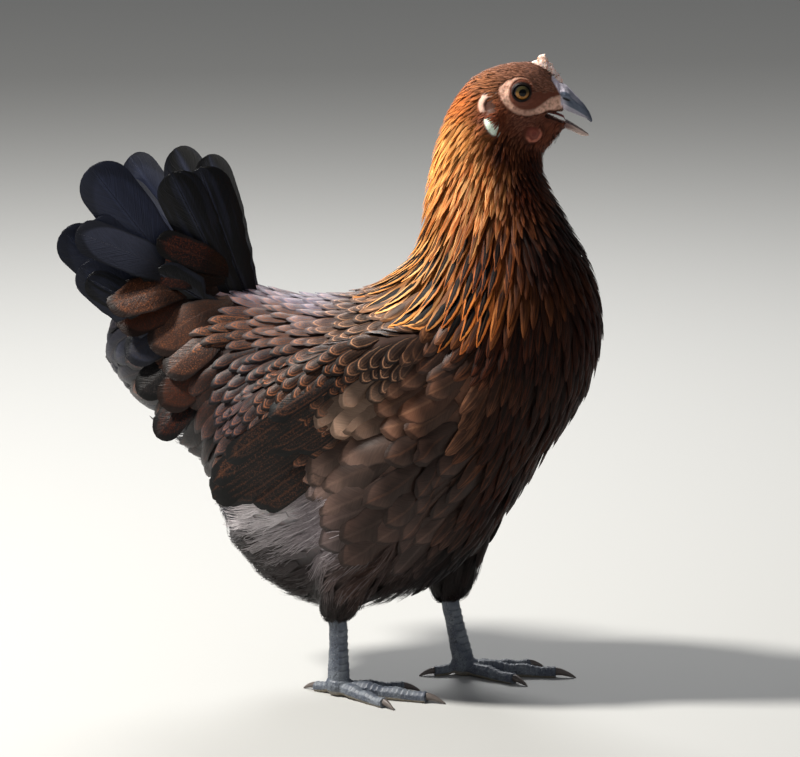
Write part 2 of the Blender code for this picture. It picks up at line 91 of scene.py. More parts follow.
# %% The head's turn
eye_middle = {}
for side, word in SIDE_NAMES.items():
    low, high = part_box(f"eye_{word}")
    eye_middle[side] = np.array((low + high) / 2)
    eye_radius = (high.z - low.z) / 2
across_head = eye_middle[LEFT] - eye_middle[RIGHT]
across_head /= np.linalg.norm(across_head)
ahead = np.array((across_head[1], -across_head[0], 0))
head_turn = math.atan2(ahead[1], ahead[0])
between_eyes = (eye_middle[LEFT] + eye_middle[RIGHT]) / 2
# The head turns about an upright line where its own middle plane crosses the body's.
pivot_x = between_eyes[0] - between_eyes[1] / math.tan(head_turn)
neck_low, neck_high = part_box("neck")
TWIST_FROM, TWIST_TO = neck_low.z + 20 * MM, neck_high.z - 10 * MM
print("head turned", round(math.degrees(head_turn), 1), "degrees about x =", round(pivot_x, 4))


def turned(points, sign):
    """Points turned about the pivot line, by more the higher up the neck they are."""
    angle = sign * head_turn * ease(points[:, 2], TWIST_FROM, TWIST_TO)
    x, y = points[:, 0] - pivot_x, points[:, 1]
    made = points.copy()
    made[:, 0] = pivot_x + x * np.cos(angle) - y * np.sin(angle)
    made[:, 1] = x * np.sin(angle) + y * np.cos(angle)
    return made


def straight(points):
    """Points as they would be if the head looked straight ahead."""
    return turned(points, -1)


eye_place = straight(eye_middle[LEFT][None])[0]
print("straightened eye place", eye_place.round(4))

# %% [markdown]
# Meshes are read into arrays and written back from them, because a plumage of many thousand
# feathers is far too much for point by point editing.

# %% Reading and writing meshes
def points_of(mesh):
    flat = np.empty(len(mesh.vertices) * 3)
    mesh.vertices.foreach_get("co", flat)
    return flat.reshape(-1, 3)


def normals_of(mesh):
    flat = np.empty(len(mesh.vertices) * 3)
    mesh.vertex_normals.foreach_get("vector", flat)
    return flat.reshape(-1, 3)


def move_points(mesh, points):
    mesh.vertices.foreach_set("co", points.ravel())
    mesh.update()


def corners_of(mesh):
    """The three vertex numbers of every triangle."""
    mesh.calc_loop_triangles()
    flat = np.empty(len(mesh.loop_triangles) * 3, np.int32)
    mesh.loop_triangles.foreach_get("vertices", flat)
    return flat.reshape(-1, 3)


def paint(mesh, **layers):
    """Stores one number, or one colour, for each vertex under each name."""
    for name, values in layers.items():
        if values.ndim == 1:
            layer = mesh.attributes.new(name, "FLOAT", "POINT")
            layer.data.foreach_set("value", values)
        else:
            layer = mesh.attributes.new(name, "FLOAT_COLOR", "POINT")
            layer.data.foreach_set("color", np.insert(values, 3, 1.0, axis=1).ravel())


def mesh_from(bm, name):
    """Turns a bmesh into a mesh and frees it."""
    mesh = bpy.data.meshes.new(name)
    bm.to_mesh(mesh)
    bm.free()
    return mesh


def new_object(name, data):
    made = bpy.data.objects.new(name, data)
    bpy.context.scene.collection.objects.link(made)
    return made


def add_piece(name, mesh, finish, replaced=()):
    """Shows a finished mesh, lets it ride with the hen and hides the solids it stands for."""
    made = new_object(name, mesh)
    mesh.materials.clear()
    mesh.materials.append(finish)
    mesh.shade_smooth()
    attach(made, "root")
    if replaced:
        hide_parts(*replaced)
    print(name, "has", len(corners_of(mesh)), "triangles")
    return made


# %% [markdown]
# A soft form is made from one or more solids. Their copies are welded, swollen a hair so that the
# thin cuts between them close, and rebuilt by a voxel remesh into one even skin that has no
# seams. A smoothing pass then takes off the facets.

# %% Growing soft forms from solids
FURTHEST = 30 * MM


def welded(names, swell=0.0):
    """One bmesh with welded copies of the named solids, each moved out by swell."""
    bm = bmesh.new()
    for name in names:
        part = bmesh.new()
        part.from_mesh(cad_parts[name].data)
        bmesh.ops.remove_doubles(part, verts=part.verts, dist=0.02 * MM)
        part.normal_update()
        for vertex in part.verts:
            vertex.co += vertex.normal * swell
        mesh = mesh_from(part, "part")
        bm.from_mesh(mesh)
        bpy.data.meshes.remove(mesh)
    return bm


def solid_points(name):
    """The corners of a solid."""
    bm = welded([name])
    points = np.array([vertex.co for vertex in bm.verts])
    bm.free()
    return points


def modified(name, mesh, *modifiers, members=None):
    """The mesh after modifiers, each a type and its settings, that act on all points or some."""
    carrier = new_object(name, mesh)
    if members is not None:
        group = carrier.vertex_groups.new(name="members")
        group.add(np.flatnonzero(members).tolist(), 1.0, "REPLACE")
    for kind, settings in modifiers:
        modifier = carrier.modifiers.new(kind, kind)
        for setting, value in settings.items():
            setattr(modifier, setting, value)
        if members is not None:
            modifier.vertex_group = "members"
    graph = bpy.context.evaluated_depsgraph_get()
    made = bpy.data.meshes.new_from_object(carrier.evaluated_get(graph), depsgraph=graph)
    bpy.data.objects.remove(carrier)
    made.name = name
    return made


def smoothing(rounds):
    return "SMOOTH", {"factor": 0.5, "iterations": rounds}


def soft_form(name, nodes, voxel, rounds, swell=0.45 * MM):
    """The solids as one even, softened skin."""
    mesh = mesh_from(welded(nodes, swell), name)
    return modified(name, mesh, ("REMESH", {"mode": "VOXEL", "voxel_size": voxel}), smoothing(rounds))


def tree_of(names):
    """The solids, ready for a search of the nearest point."""
    bm = welded(names)
    made = BVHTree.FromBMesh(bm)
    bm.free()
    return made


def distances(tree, points, furthest=FURTHEST):
    """How far each point is from the surface in the tree, up to the furthest that matters."""
    made = np.full(len(points), furthest)
    for i, point in enumerate(points):
        found = tree.find_nearest(point, furthest)
        if found[3] is not None:
            made[i] = found[3]
    return made


# %% [markdown]
# Shader maths reads best as ordinary expressions. One small class wraps a socket, so that
# `1 - mask * 0.5` adds the Math nodes by itself, and one method makes every other node.

# %% Shader tools
class Wire:
    """A socket in a material, which adds Math nodes when it is reckoned with."""

    def __init__(self, bench, socket):
        self.bench, self.socket = bench, socket

    def math(self, operation, *values):
        return self.bench.node("ShaderNodeMath", {"operation": operation}, dict(enumerate(values)))

    def __pow__(self, other):
        return self.math("POWER", self, other)

    def __abs__(self):
        return self.math("ABSOLUTE", self)

    def least(self, other):
        return self.math("MINIMUM", self, other)

    def between(self, start, end, low=0.0, high=1.0):
        """A smooth step from low at start to high at end, which may run either way."""
        if start > end:
            start, end, low, high = end, start, high, low
        settings = {"interpolation_type": "SMOOTHSTEP", "clamp": True}
        values = {"Value": self, "From Min": start, "From Max": end, "To Min": low, "To Max": high}
        return self.bench.node("ShaderNodeMapRange", settings, values)


def add_sign(sign, operation):
    """Lets a sign between wires and numbers add its Math node, either way round."""
    setattr(Wire, f"__{sign}__", lambda wire, other: wire.math(operation, wire, other))
    setattr(Wire, f"__r{sign}__", lambda wire, other: wire.math(operation, other, wire))


add_sign("add", "ADD")
add_sign("sub", "SUBTRACT")
add_sign("mul", "MULTIPLY")


class Bench:
    """Where one material is put together."""

    def __init__(self, name, **constants):
        self.material = bpy.data.materials.new(name)
        self.material.use_nodes = True
        self.tree = self.material.node_tree
        self.shader = self.tree.nodes["Principled BSDF"]
        for socket, value in constants.items():
            self.shader.inputs[socket.replace("_", " ")].default_value = value

    def node(self, kind, settings=None, values=None, output=0):
        """Makes a node from its type, its settings and the values or wires of its sockets."""
        made = self.tree.nodes.new(kind)
        for setting, value in (settings or {}).items():
            setattr(made, setting, value)
        for socket, value in (values or {}).items():
            if isinstance(value, Wire):
                self.tree.links.new(value.socket, made.inputs[socket])
            else:
                made.inputs[socket].default_value = value
        return Wire(self, made.outputs[output])

    def finished(self, colour, roughness=None, height=None, strength=0.0, distance=0.0):
        """The material, once colour, roughness and relief are fed to the surface shader."""
        self.tree.links.new(colour.socket, self.shader.inputs["Base Color"])
        if height is not None:
            values = {"Height": height, "Strength": strength, "Distance": distance}
            bump = self.node("ShaderNodeBump", None, values)
            self.tree.links.new(roughness.socket, self.shader.inputs["Roughness"])
            self.tree.links.new(bump.socket, self.shader.inputs["Normal"])
        return self.material

    def attribute(self, name, output="Fac"):
        return self.node("ShaderNodeAttribute", {"attribute_name": name}, output=output)

    def parts(self, vector):
        """The x, y and z of a vector."""
        split = self.tree.nodes.new("ShaderNodeSeparateXYZ")
        self.tree.links.new(vector.socket, split.inputs[0])
        return [Wire(self, output) for output in split.outputs]

    def vector(self, x=0.0, y=0.0, z=0.0):
        return self.node("ShaderNodeCombineXYZ", None, {0: x, 1: y, 2: z})

    def place(self):
        """The point on the object, in metres."""
        return self.node("ShaderNodeTexCoord", output="Object")

    def scaled(self, vector, amount):
        return self.node("ShaderNodeVectorMath", {"operation": "SCALE"}, {0: vector, "Scale": amount})

    def mix(self, share, first, second):
        return self.node("ShaderNodeMix", {"data_type": "RGBA"}, {0: share, 6: first, 7: second}, 2)

    def noise(self, vector, scale, detail=2.0, roughness=0.5):
        values = {"Vector": vector, "Scale": scale, "Detail": detail, "Roughness": roughness}
        return self.node("ShaderNodeTexNoise", None, values, output="Fac")

    def cells(self, vector, scale):
        """The distance to the middles of irregular cells."""
        return self.node("ShaderNodeTexVoronoi", None, {"Vector": vector, "Scale": scale})


def paint_tone(red, green, blue):
    """A fixed colour for a colour socket."""
    return (*tone(red, green, blue), 1.0)


# %% [markdown]
# The studio is plain: a pale floor, an even pale surround, and soft lights. The main light
# hangs high over the tail side, as the sun does on a hen in a yard, and leaves the breast in
# shade. The camera looks a little from the front and a little from above.

# %% Studio and camera
CAMERA_TURN, CAMERA_RISE = math.radians(15), math.radians(11)
CAMERA_DISTANCE = 5.0
FRAME_WIDTH = 0.512
SENSOR = 36.0
AIM = Vector((0.0387, 0, 0.201))


def aimed(holder, place):
    """Stands a light or camera at its place and points it at the hen."""
    holder.location = place
    holder.rotation_euler = (AIM - place).to_track_quat("-Z", "Y").to_euler()
    return holder


def studio_light(name, place, size, power, colour=(1, 1, 1)):
    light = bpy.data.lights.new(name, "AREA")
    light.shape = "DISK"
    light.size = size
    light.energy = power
    light.color = colour
    return aimed(new_object(name, light), Vector(place))


def make_studio():
    world = bpy.data.worlds.new("studio")
    world.use_nodes = True
    surround = world.node_tree.nodes["Background"].inputs
    surround["Color"].default_value = (0.92, 0.95, 1.0, 1)
    surround["Strength"].default_value = 0.17
    bpy.context.scene.world = world
    bm = bmesh.new()
    bmesh.ops.create_grid(bm, x_segments=1, y_segments=1, size=6)
    floor = new_object("floor", mesh_from(bm, "floor"))
    floor_paint = Bench("floor_paint", Base_Color=(0.46, 0.46, 0.45, 1), Roughness=0.85)
    floor.data.materials.append(floor_paint.material)
    studio_light("key", (-1.15, -0.55, 1.75), 0.30, 84, (1.0, 0.97, 0.91))
    fill = studio_light("fill", (1.1, -1.6, 0.9), 1.2, 2.5, (0.93, 0.96, 1.0))
    # A wide soft light must not stand in the eyes as a grey disc.
    fill.visible_glossy = False
    studio_light("rim", (-0.5, 1.3, 1.4), 0.8, 22)


def make_camera():
    camera = bpy.data.cameras.new("camera")
    camera.sensor_width = SENSOR
    camera.lens = SENSOR * CAMERA_DISTANCE / FRAME_WIDTH
    level = math.cos(CAMERA_RISE)
    back = Vector((math.sin(CAMERA_TURN) * level, -math.cos(CAMERA_TURN) * level, math.sin(CAMERA_RISE)))
    bpy.context.scene.camera = aimed(new_object("camera", camera), AIM + back * CAMERA_DISTANCE)


make_studio()
make_camera()
bpy.context.scene.view_settings.view_transform = "Standard"
print("camera", CAMERA_DISTANCE, "m away, framing", FRAME_WIDTH, "m across")

# %% [markdown]
# Plumage changes from place to place: tiny bristly feathers on the face, long golden lancets on
# the neck, scallops on the wing, silky fluff under the tail. A table of named places holds what
# the feathers are like there, and everywhere else is a blend of the places nearby. The same table
# colours the skin under the feathers, so coat and skin carry the same markings.

# %% Plumage tones
TONES = {
    "gold": tone(222, 138, 64),
    "pale gold": tone(246, 190, 122),
    "deep gold": tone(168, 86, 38),
    "chestnut": tone(92, 42, 20),
    "rust": tone(142, 86, 56),
    "buff": tone(196, 144, 108),
    "taupe": tone(106, 84, 75),
    "fawn": tone(152, 120, 104),
    "saddle": tone(112, 97, 94),
    "bay": tone(66, 29, 14),
    "umber": tone(64, 47, 41),
    "brown": tone(46, 30, 24),
    "dark": tone(24, 12, 8),
    "ember": tone(34, 15, 8),
    "soot": tone(13, 11, 13),
    "slate": tone(40, 42, 52),
    "ash": tone(128, 119, 122),
    "silver": tone(214, 206, 208),
    "smoke": tone(58, 51, 49),
    # Painted sheen: the blue-grey light on top of the back, and a fainter one along the folded wing.
    "sheen": tone(122, 120, 140),
    "faint sheen": tone(56, 50, 56),
    "bronze": tone(118, 80, 62),
    # Painted light: the sunlit top of the flank.
    "sunlit dun": tone(212, 172, 146),
    "face": tone(96, 50, 36),
    "crown": tone(138, 90, 68),
}

# %% The plumage by place
# Each place: its coat; x, distance from the middle plane and z in mm; the lie in degrees, from
# forwards round by up; coat depth, feather length and width in mm; main tone and edge tone; how
# strong lacing, centre stripe, stippling and pale shaft are; how pointed and how loose.
PLACES = (
    ("head", 112, 5, 403, 182, 1.6, 4.6, 1.2, "crown", "fawn", .4, .0, .0, .3, .5, .5),
    ("head", 128, 4, 402, 178, 1.0, 3.2, 0.9, "crown", "ash", .3, .0, .0, .2, .5, .5),
    ("head", 96, 14, 400, 190, 2.2, 6.4, 1.5, "crown", "gold", .4, .0, .0, .3, .6, .5),
    ("head", 122, 15, 376, 200, 0.9, 3.2, 0.9, "face", "fawn", .2, .0, .0, .4, .5, .5),
    ("head", 100, 17, 376, 212, 1.3, 4.4, 1.2, "face", "deep gold", .1, .0, .0, .1, .5, .5),
    ("head", 130, 7, 362, 214, 1.2, 3.8, 1.0, "face", "rust", .1, .0, .0, .3, .5, .5),
    ("head", 80, 12, 388, 222, 2.6, 8.5, 2.2, "deep gold", "gold", .4, .0, .0, .3, .7, .5),
    ("neck", 76, 20, 368, 240, 3.4, 21, 3.2, "gold", "pale gold", .1, .0, .0, .3, .9, .6),
    ("neck", 106, 20, 356, 246, 2.6, 13, 3.0, "ember", "chestnut", .0, .0, .0, .2, .8, .6),
    ("neck", 92, 26, 350, 244, 3.6, 20, 3.4, "deep gold", "pale gold", .1, .0, .0, .3, .9, .6),
    ("neck", 124, 8, 348, 256, 2.6, 8.0, 2.8, "dark", "chestnut", .0, .0, .0, .1, .6, .6),
    ("neck", 120, 20, 334, 262, 3.4, 13, 3.6, "ember", "chestnut", .0, .0, .0, .2, .7, .6),
    ("neck", 60, 8, 352, 250, 4.0, 26, 3.6, "gold", "pale gold", .1, .0, .0, .3, .9, .6),
    ("neck", 66, 26, 336, 255, 5.5, 28, 4.6, "deep gold", "pale gold", .1, .1, .0, .3, .9, .6),
    ("neck", 92, 30, 334, 262, 5.0, 28, 4.4, "deep gold", "pale gold", .1, .1, .0, .3, .9, .6),
    ("neck", 56, 24, 312, 246, 6.5, 42, 7.2, "gold", "pale gold", .4, .8, .0, .1, .8, .5),
    ("neck", 82, 38, 306, 258, 6.5, 42, 7.2, "deep gold", "pale gold", .4, .8, .0, .1, .8, .5),
    ("neck", 106, 38, 304, 266, 6.5, 34, 7.2, "bay", "deep gold", .3, .8, .0, .1, .9, .4),
    ("neck", 44, 16, 292, 238, 7.0, 48, 9.4, "gold", "pale gold", .5, 1., .0, .0, .7, .25),
    ("neck", 70, 44, 283, 258, 7.5, 50, 9.4, "gold", "pale gold", .5, 1., .0, .0, .7, .25),
    ("neck", 96, 48, 280, 264, 7.0, 42, 9.0, "deep gold", "gold", .5, 1., .0, .0, .7, .3),
    ("breast", 146, 10, 312, 290, 3.5, 20, 5.0, "dark", "bay", .0, .0, .0, .3, .7, .6),
    ("breast", 136, 30, 300, 280, 4.0, 24, 6.0, "dark", "bay", .0, .0, .0, .3, .7, .6),
    ("breast", 168, 12, 258, 280, 4.5, 28, 7.0, "ember", "bay", .0, .0, .0, .4, .6, .6),
    ("breast", 138, 46, 246, 262, 4.5, 30, 7.5, "dark", "bay", .0, .0, .0, .5, .7, .6),
    ("breast", 112, 54, 250, 256, 5.0, 28, 8.5, "dark", "chestnut", .0, .0, .0, .5, .5, .5),
    ("breast", 166, 20, 205, 262, 5.0, 32, 8.0, "dark", "bay", .0, .0, .0, .4, .7, .6),
    ("breast", 128, 54, 195, 248, 5.0, 32, 8.5, "dark", "bay", .0, .0, .0, .6, .6, .6),
    ("breast", 130, 26, 145, 236, 5.5, 32, 9.0, "dark", "bay", .0, .0, .0, .6, .6, .6),
    ("breast", 96, 18, 88, 214, 6.0, 30, 10, "soot", "brown", .0, .0, .0, .3, .5, .6),
    ("back", 86, 60, 246, 238, 6.0, 26, 14, "umber", "rust", .1, .0, .0, .4, .1, .2),
    ("back", 58, 54, 254, 230, 6.0, 26, 12, "umber", "buff", .8, .1, .1, .1, .2, .3),
    ("back", 26, 14, 272, 206, 6.5, 26, 9.0, "umber", "buff", .7, .2, .1, .2, .4, .3),
    ("back", 34, 40, 258, 216, 6.0, 24, 8.5, "umber", "buff", .9, .1, .2, .2, .2, .3),
    ("back", 0, 10, 265, 186, 5.0, 30, 10, "sheen", "buff", .15, .0, .1, .2, .2, .6),
    ("back", -44, 12, 267, 178, 5.0, 34, 11, "sheen", "rust", .3, .0, .2, .2, .3, .6),
    ("back", -20, 34, 250, 198, 6.0, 28, 9.0, "saddle", "rust", .6, .0, 1., .0, .4, .55),
    ("back", -50, 38, 238, 208, 6.0, 30, 10, "smoke", "rust", .5, .0, 1., .0, .4, .5),
    ("back", -66, 50, 208, 222, 6.5, 40, 15, "brown", "chestnut", .1, .0, .7, .1, .4, .3),
    ("back", -72, 52, 176, 232, 6.5, 40, 15, "soot", "chestnut", .1, .0, .2, .1, .4, .3),
    ("tail", -84, 16, 266, 170, 7.0, 38, 18, "umber", "rust", .3, .0, .3, .3, .1, .2),
    ("tail", -86, 38, 246, 192, 7.0, 42, 22, "taupe", "rust", .3, .0, .4, .3, .1, .2),
    ("tail", -92, 48, 214, 206, 7.0, 42, 22, "brown", "rust", .2, .0, .4, .3, .1, .3),
    ("tail", -116, 36, 222, 198, 7.0, 42, 22, "slate", "smoke", .1, .0, .1, .3, .1, .3),
    ("tail", -140, 12, 254, 156, 5.0, 32, 13, "soot", "slate", .3, .0, .0, .4, .2, .3),
    ("tail", -147, 6, 230, 232, 5.0, 34, 15, "slate", "smoke", .1, .0, .0, .3, .2, .3),
    ("tail", -128, 28, 196, 200, 8.0, 44, 17, "slate", "ash", .2, .0, .0, .4, .2, .5),
    ("tail", -118, 10, 162, 204, 8.5, 40, 13, "slate", "ash", .4, .0, .0, .3, .2, .8),
    ("fluff", -80, 40, 140, 200, 8.0, 30, 12, "slate", "ash", .3, .0, .0, .3, .3, .9),
    ("fluff", -40, 66, 130, 192, 6.0, 30, 13, "silver", "ash", .2, .0, .0, .5, .3, .9),
    ("fluff", -46, 58, 122, 198, 8.0, 32, 12, "silver", "ash", .2, .0, .0, .4, .3, .9),
    ("fluff", -58, 52, 116, 204, 8.0, 32, 12, "slate", "ash", .2, .0, .0, .4, .3, .9),
    ("fluff", -66, 26, 102, 222, 8.0, 26, 12, "slate", "ash", .2, .0, .0, .3, .3, 1.),
    ("fluff", -42, 48, 98, 214, 8.0, 30, 12, "dark", "smoke", .2, .0, .0, .3, .3, .9),
    ("fluff", -22, 40, 68, 214, 7.0, 28, 12, "dark", "smoke", .2, .0, .0, .2, .3, .9),
    ("fluff", 28, 10, 58, 192, 7.0, 26, 12, "soot", "brown", .2, .0, .0, .2, .3, .9),
    ("thigh", 82, 63, 214, 208, 6.0, 40, 22, "bronze", "buff", .0, .0, .0, .2, .0, .1),
    # The top of the flank is painted lighter, as painted light.
    ("thigh", 46, 76, 202, 202, 6.5, 46, 26, "sunlit dun", "fawn", .0, .0, .0, .15, .0, .1),
    ("thigh", 50, 76, 172, 200, 6.5, 50, 27, "taupe", "fawn", .0, .0, .0, .2, .0, .2),
    ("thigh", 88, 61, 168, 216, 6.0, 40, 20, "umber", "rust", .0, .0, .0, .25, .1, .4),
    ("thigh", 60, 70, 130, 206, 6.0, 48, 26, "umber", "taupe", .0, .0, .0, .2, .1, .5),
    ("fluff", 16, 74, 120, 206, 6.0, 28, 14, "ash", "silver", .2, .0, .0, .6, .2, .9),
    ("thigh", 40, 62, 88, 224, 6.0, 28, 14, "umber", "ash", .1, .0, .0, .6, .3, .9),
    ("thigh", 8, 40, 60, 258, 3.5, 16, 7.0, "dark", "smoke", .2, .0, .0, .2, .3, .8),
    ("thigh", 62, 40, 60, 262, 3.5, 16, 7.0, "dark", "smoke", .2, .0, .0, .2, .3, .8),
    ("wing", 56, 68, 234, 224, 4.5, 20, 10, "umber", "buff", .9, .0, .1, .2, .0, .2),
    ("wing", 28, 74, 222, 218, 4.5, 20, 9.0, "brown", "rust", 1., .0, .5, .1, .0, .2),
    ("wing", -8, 66, 226, 220, 4.5, 20, 9.0, "brown", "rust", 1., .0, .6, .1, .0, .2),
    # These two places on the folded wing's upper edge carry a faint painted sheen.
    ("wing", -34, 56, 230, 220, 4.5, 24, 8.0, "faint sheen", "rust", .6, .0, .3, .0, .1, .3),
    ("wing", -44, 70, 204, 226, 4.5, 26, 8.0, "faint sheen", "rust", .4, .0, .4, .0, .1, .3),
    ("wing", 16, 78, 190, 222, 4.5, 24, 10, "brown", "rust", .8, .0, .7, .1, .0, .2),
    ("wing", -30, 74, 165, 226, 4.0, 34, 12, "soot", "rust", .3, .0, .7, .2, .1, .2),
    ("fluff", -60, 61, 131, 212, 3.5, 18, 9.0, "smoke", "ash", .3, .0, .3, .2, .3, .9),
)
COATS = ("head", "neck", "breast", "back", "wing", "thigh", "fluff", "tail")
TRAITS = ("depth", "length", "width", "lace", "stripe", "stipple", "shaft", "point", "loose")


def place_traits(row):
    """The lie as a direction, the sizes in metres, the marks and the two tones of a place."""
    _, _, _, _, lie, depth, length, width, main, edge, *marks = row
    lie = math.radians(lie)
    direction = (math.cos(lie), 0, math.sin(lie))
    return (*direction, depth * MM, length * MM, width * MM, *marks, *TONES[main], *TONES[edge])


place_points = np.array([row[1:4] for row in PLACES]) * MM
place_values = np.array([place_traits(row) for row in PLACES])
place_coats = np.array([COATS.index(row[0]) for row in PLACES])
SHARPNESS = 5
SOFTENING = 6 * MM


class Plumage:
    """What the feathers are like at a set of points, blended from the places nearby."""

    def __init__(self, points):
        local = straight(points)
        local[:, 1] = np.abs(local[:, 1])
        weights = np.ones((len(points), len(PLACES)))
        for i, place in enumerate(place_points):
            gap = np.linalg.norm(local - place, axis=1)
            weights[:, i] = 1 / (gap + SOFTENING) ** SHARPNESS
        values = weights @ place_values / weights.sum(1)[:, None]
        self.lie = values[:, 0:3]
        for i, trait in enumerate(TRAITS):
            setattr(self, trait, values[:, 3 + i])
        self.main = values[:, 12:15]
        self.edge = values[:, 15:18]
        shares = [weights[:, place_coats == k].sum(1) for k in range(len(COATS))]
        self.coat = np.argmax(shares, axis=0)


def lie_of(points, normals):
    """Unit directions along the surface in which the feathers lie."""
    lie = flattened(Plumage(points).lie, normals)
    # Undo the straightening, so that the lie turns with the head.
    angle = head_turn * ease(points[:, 2], TWIST_FROM, TWIST_TO)
    x = lie[:, 0] * np.cos(angle) - lie[:, 1] * np.sin(angle)
    y = lie[:, 0] * np.sin(angle) + lie[:, 1] * np.cos(angle)
    return unit(flattened(np.stack((x, y, lie[:, 2]), 1), normals))


print(len(PLACES), "places describe the plumage")

# %% [markdown]
# The skin is one piece over head, neck, trunk, wings and thighs, with comb, wattles and earlobes
# growing out of it. The solids show the outside of the coat, so the skin is drawn in by the
# coat's depth. It is left at full size where the bird is bare. The body can be coarse under its
# feathers, while the bare face stays fine, so only the body is thinned out.

# %% Where the bird is bare
BARE_NODES = ("comb", "wattle_left", "wattle_right", "earlobe_left", "earlobe_right")
FLESH_NODES = (
    "head", "neck", "trunk", "tail_root", "wing_left", "wing_right", "thigh_left", "thigh_right",
) + BARE_NODES
FACE_NODES = BARE_NODES + ("bill_upper", "bill_lower", "eye_left", "eye_right")
# Two outlines round the eye, as degrees from forwards round by up, and mm from its middle.
# Between them the skin is pale: a crescent behind the eye that runs on below it to the gape.
PALE_FROM = (
    (0, 9.2), (90, 7.9), (180, 7.9), (210, 8.8), (240, 9.7), (270, 11.2), (300, 13.2),
    (330, 15.8), (340, 17.4), (347, 19.5), (352, 24), (356, 27), (358, 9.2), (360, 9.2),
)
PALE_TO = (
    (0, 9.4), (90, 8.8), (125, 9.6), (150, 12), (165, 13.6), (180, 14.2), (210, 13.2), (240, 13.3),
    (270, 14.8), (300, 16.9), (325, 20.9), (330, 25), (336, 28.5), (347, 29), (356, 28), (358, 9.4),
    (360, 9.4),
)
# How strongly the pale skin is coloured, by the same angle.
PALE_STRENGTH = (
    (0, 0.5), (90, 0.45), (150, 0.6), (185, 1.0), (215, 0.8), (250, 0.6), (285, 0.6),
    (315, 0.95), (345, 1.0), (360, 0.5),
)
# More places on the side of the head, in mm forwards and up from the eye.
EAR = (-18.5, -8.5)
CERE_FROM, CERE_SLANT = 18.6, 0.62
WATTLE_TOP = -18
# Below the first height the skin may be coarse, below the second it has no marks of the face.
NECK_TOP, NECK_FOOT = -40, -45


def head_places(points):
    """Straight coordinates from the eye: forwards, up, and distance from the middle plane."""
    local = straight(points)
    return (local[:, 0] - eye_place[0]) / MM, (local[:, 2] - eye_place[2]) / MM, local[:, 1] / MM


def in_oval(forward, up, middle, half, lean):
    """Coordinates along and across a leaning oval, which are 1 at its ends."""
    turn = math.radians(lean)
    x, z = forward - middle[0], up - middle[1]
    along = (x * math.cos(turn) + z * math.sin(turn)) / half[0]
    across = (z * math.cos(turn) - x * math.sin(turn)) / half[1]
    return along, across


def around(forward, up, middle=(0, 0)):
    """How far points are from a middle in mm, and at which angle in degrees round by up."""
    x, z = forward - middle[0], up - middle[1]
    return np.hypot(x, z), np.degrees(np.arctan2(z, x)) % 360


def round_eye(forward, up, outline):
    """How far each point lies outside an outline round the eye, in mm."""
    gap, angle = around(forward, up)
    return gap - np.interp(angle, *zip(*outline))


def bare_masks(points):
    """Masks of the bare skin of the face."""
    forward, up, out = head_places(points)
    on_head = ease(up, -48, -40) * (np.abs(out) > 4)
    outside, inside = round_eye(forward, up, PALE_FROM), round_eye(forward, up, PALE_TO)
    ear_gap, ear_side = around(forward, up, EAR)
    rim = ease(ear_gap, 4.8, 6.0) * (1 - ease(ear_gap, 8.0, 9.4))
    rim = rim * ease(ear_side, 60, 95) * (1 - ease(ear_side, 200, 230))
    cere_edge = CERE_FROM + CERE_SLANT * np.clip(6 - up, 0, 9)
    return {
        "lid": (1 - ease(outside, -0.6, 0.6)) * on_head,
        "pale": ease(outside, -0.9, 0.9) * (1 - ease(inside, -1.2, 1.0)) * on_head,
        "ear": (1 - ease(ear_gap, 4.6, 6.0)) * on_head,
        "ear rim": rim * on_head,
        "cere": ease(forward - cere_edge, 0, 1.5) * ease(up, -12, -8),
    }


# %% The skin
wattle_low, wattle_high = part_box("wattle_right")
wattle_middle = np.array((wattle_low + wattle_high) / 2)
WATTLE = [float(value[0]) for value in head_places(wattle_middle[None])[:2]]
SKIN_VOXEL = 0.9 * MM
SKIN_SHARE = 0.2
BODY_ROUNDS = 40
LUMP_SCALE, PIMPLE_SCALE = 650, 1500
CREASE_WIDTH = 1.9


def noise_at(points, scale):
    """Smooth noise round 0, which is finer the larger the scale is."""
    return np.array([noise.noise(Vector(point) * scale) for point in points])


def nearness(points, node, near=0.3 * MM, far=1.6 * MM):
    """1 on the surface of a solid, 0 away from it."""
    return 1 - ease(distances(tree_of([node]), points, far * 2), near, far)


def wattle_fold(forward, up, unevenness):
    """The raised fold that curls round the lower front of a wattle, from 0 to 1."""
    gap, side = around(forward, up, WATTLE)
    gap = gap + unevenness * 0.8
    curl = ease(side, 180, 230) + 1 - ease(side, 20, 70)
    outer = ease(gap, 3.6, 4.5) * (1 - ease(gap, 5.2, 6.2)) * np.clip(curl, 0, 1)
    return outer + 0.15 * ease(gap, 1.4, 2.1) * (1 - ease(gap, 2.6, 3.4))


def face_relief(points):
    """Folds and lumps of the bare skin, outwards in metres."""
    forward, up, out = head_places(points)
    masks = bare_masks(points)
    lumps, pimples = noise_at(points, LUMP_SCALE), noise_at(points, PIMPLE_SCALE)
    comb = nearness(points, "comb")
    folds = wattle_fold(forward, up, lumps) * (up < WATTLE_TOP)
    creases = np.cos(round_eye(forward, up, PALE_FROM) * 2 * math.pi / CREASE_WIDTH)
    creases = creases * np.clip(masks["lid"] + masks["pale"], 0, 1)
    relief = comb * (lumps * 0.9 + pimples * 0.4) + folds * 0.5 + creases * 0.14
    relief += masks["pale"] * (0.35 + lumps * 0.25)
    relief += masks["ear rim"] * 0.6 - masks["ear"] * 0.5 + pimples * 0.06
    return relief * MM


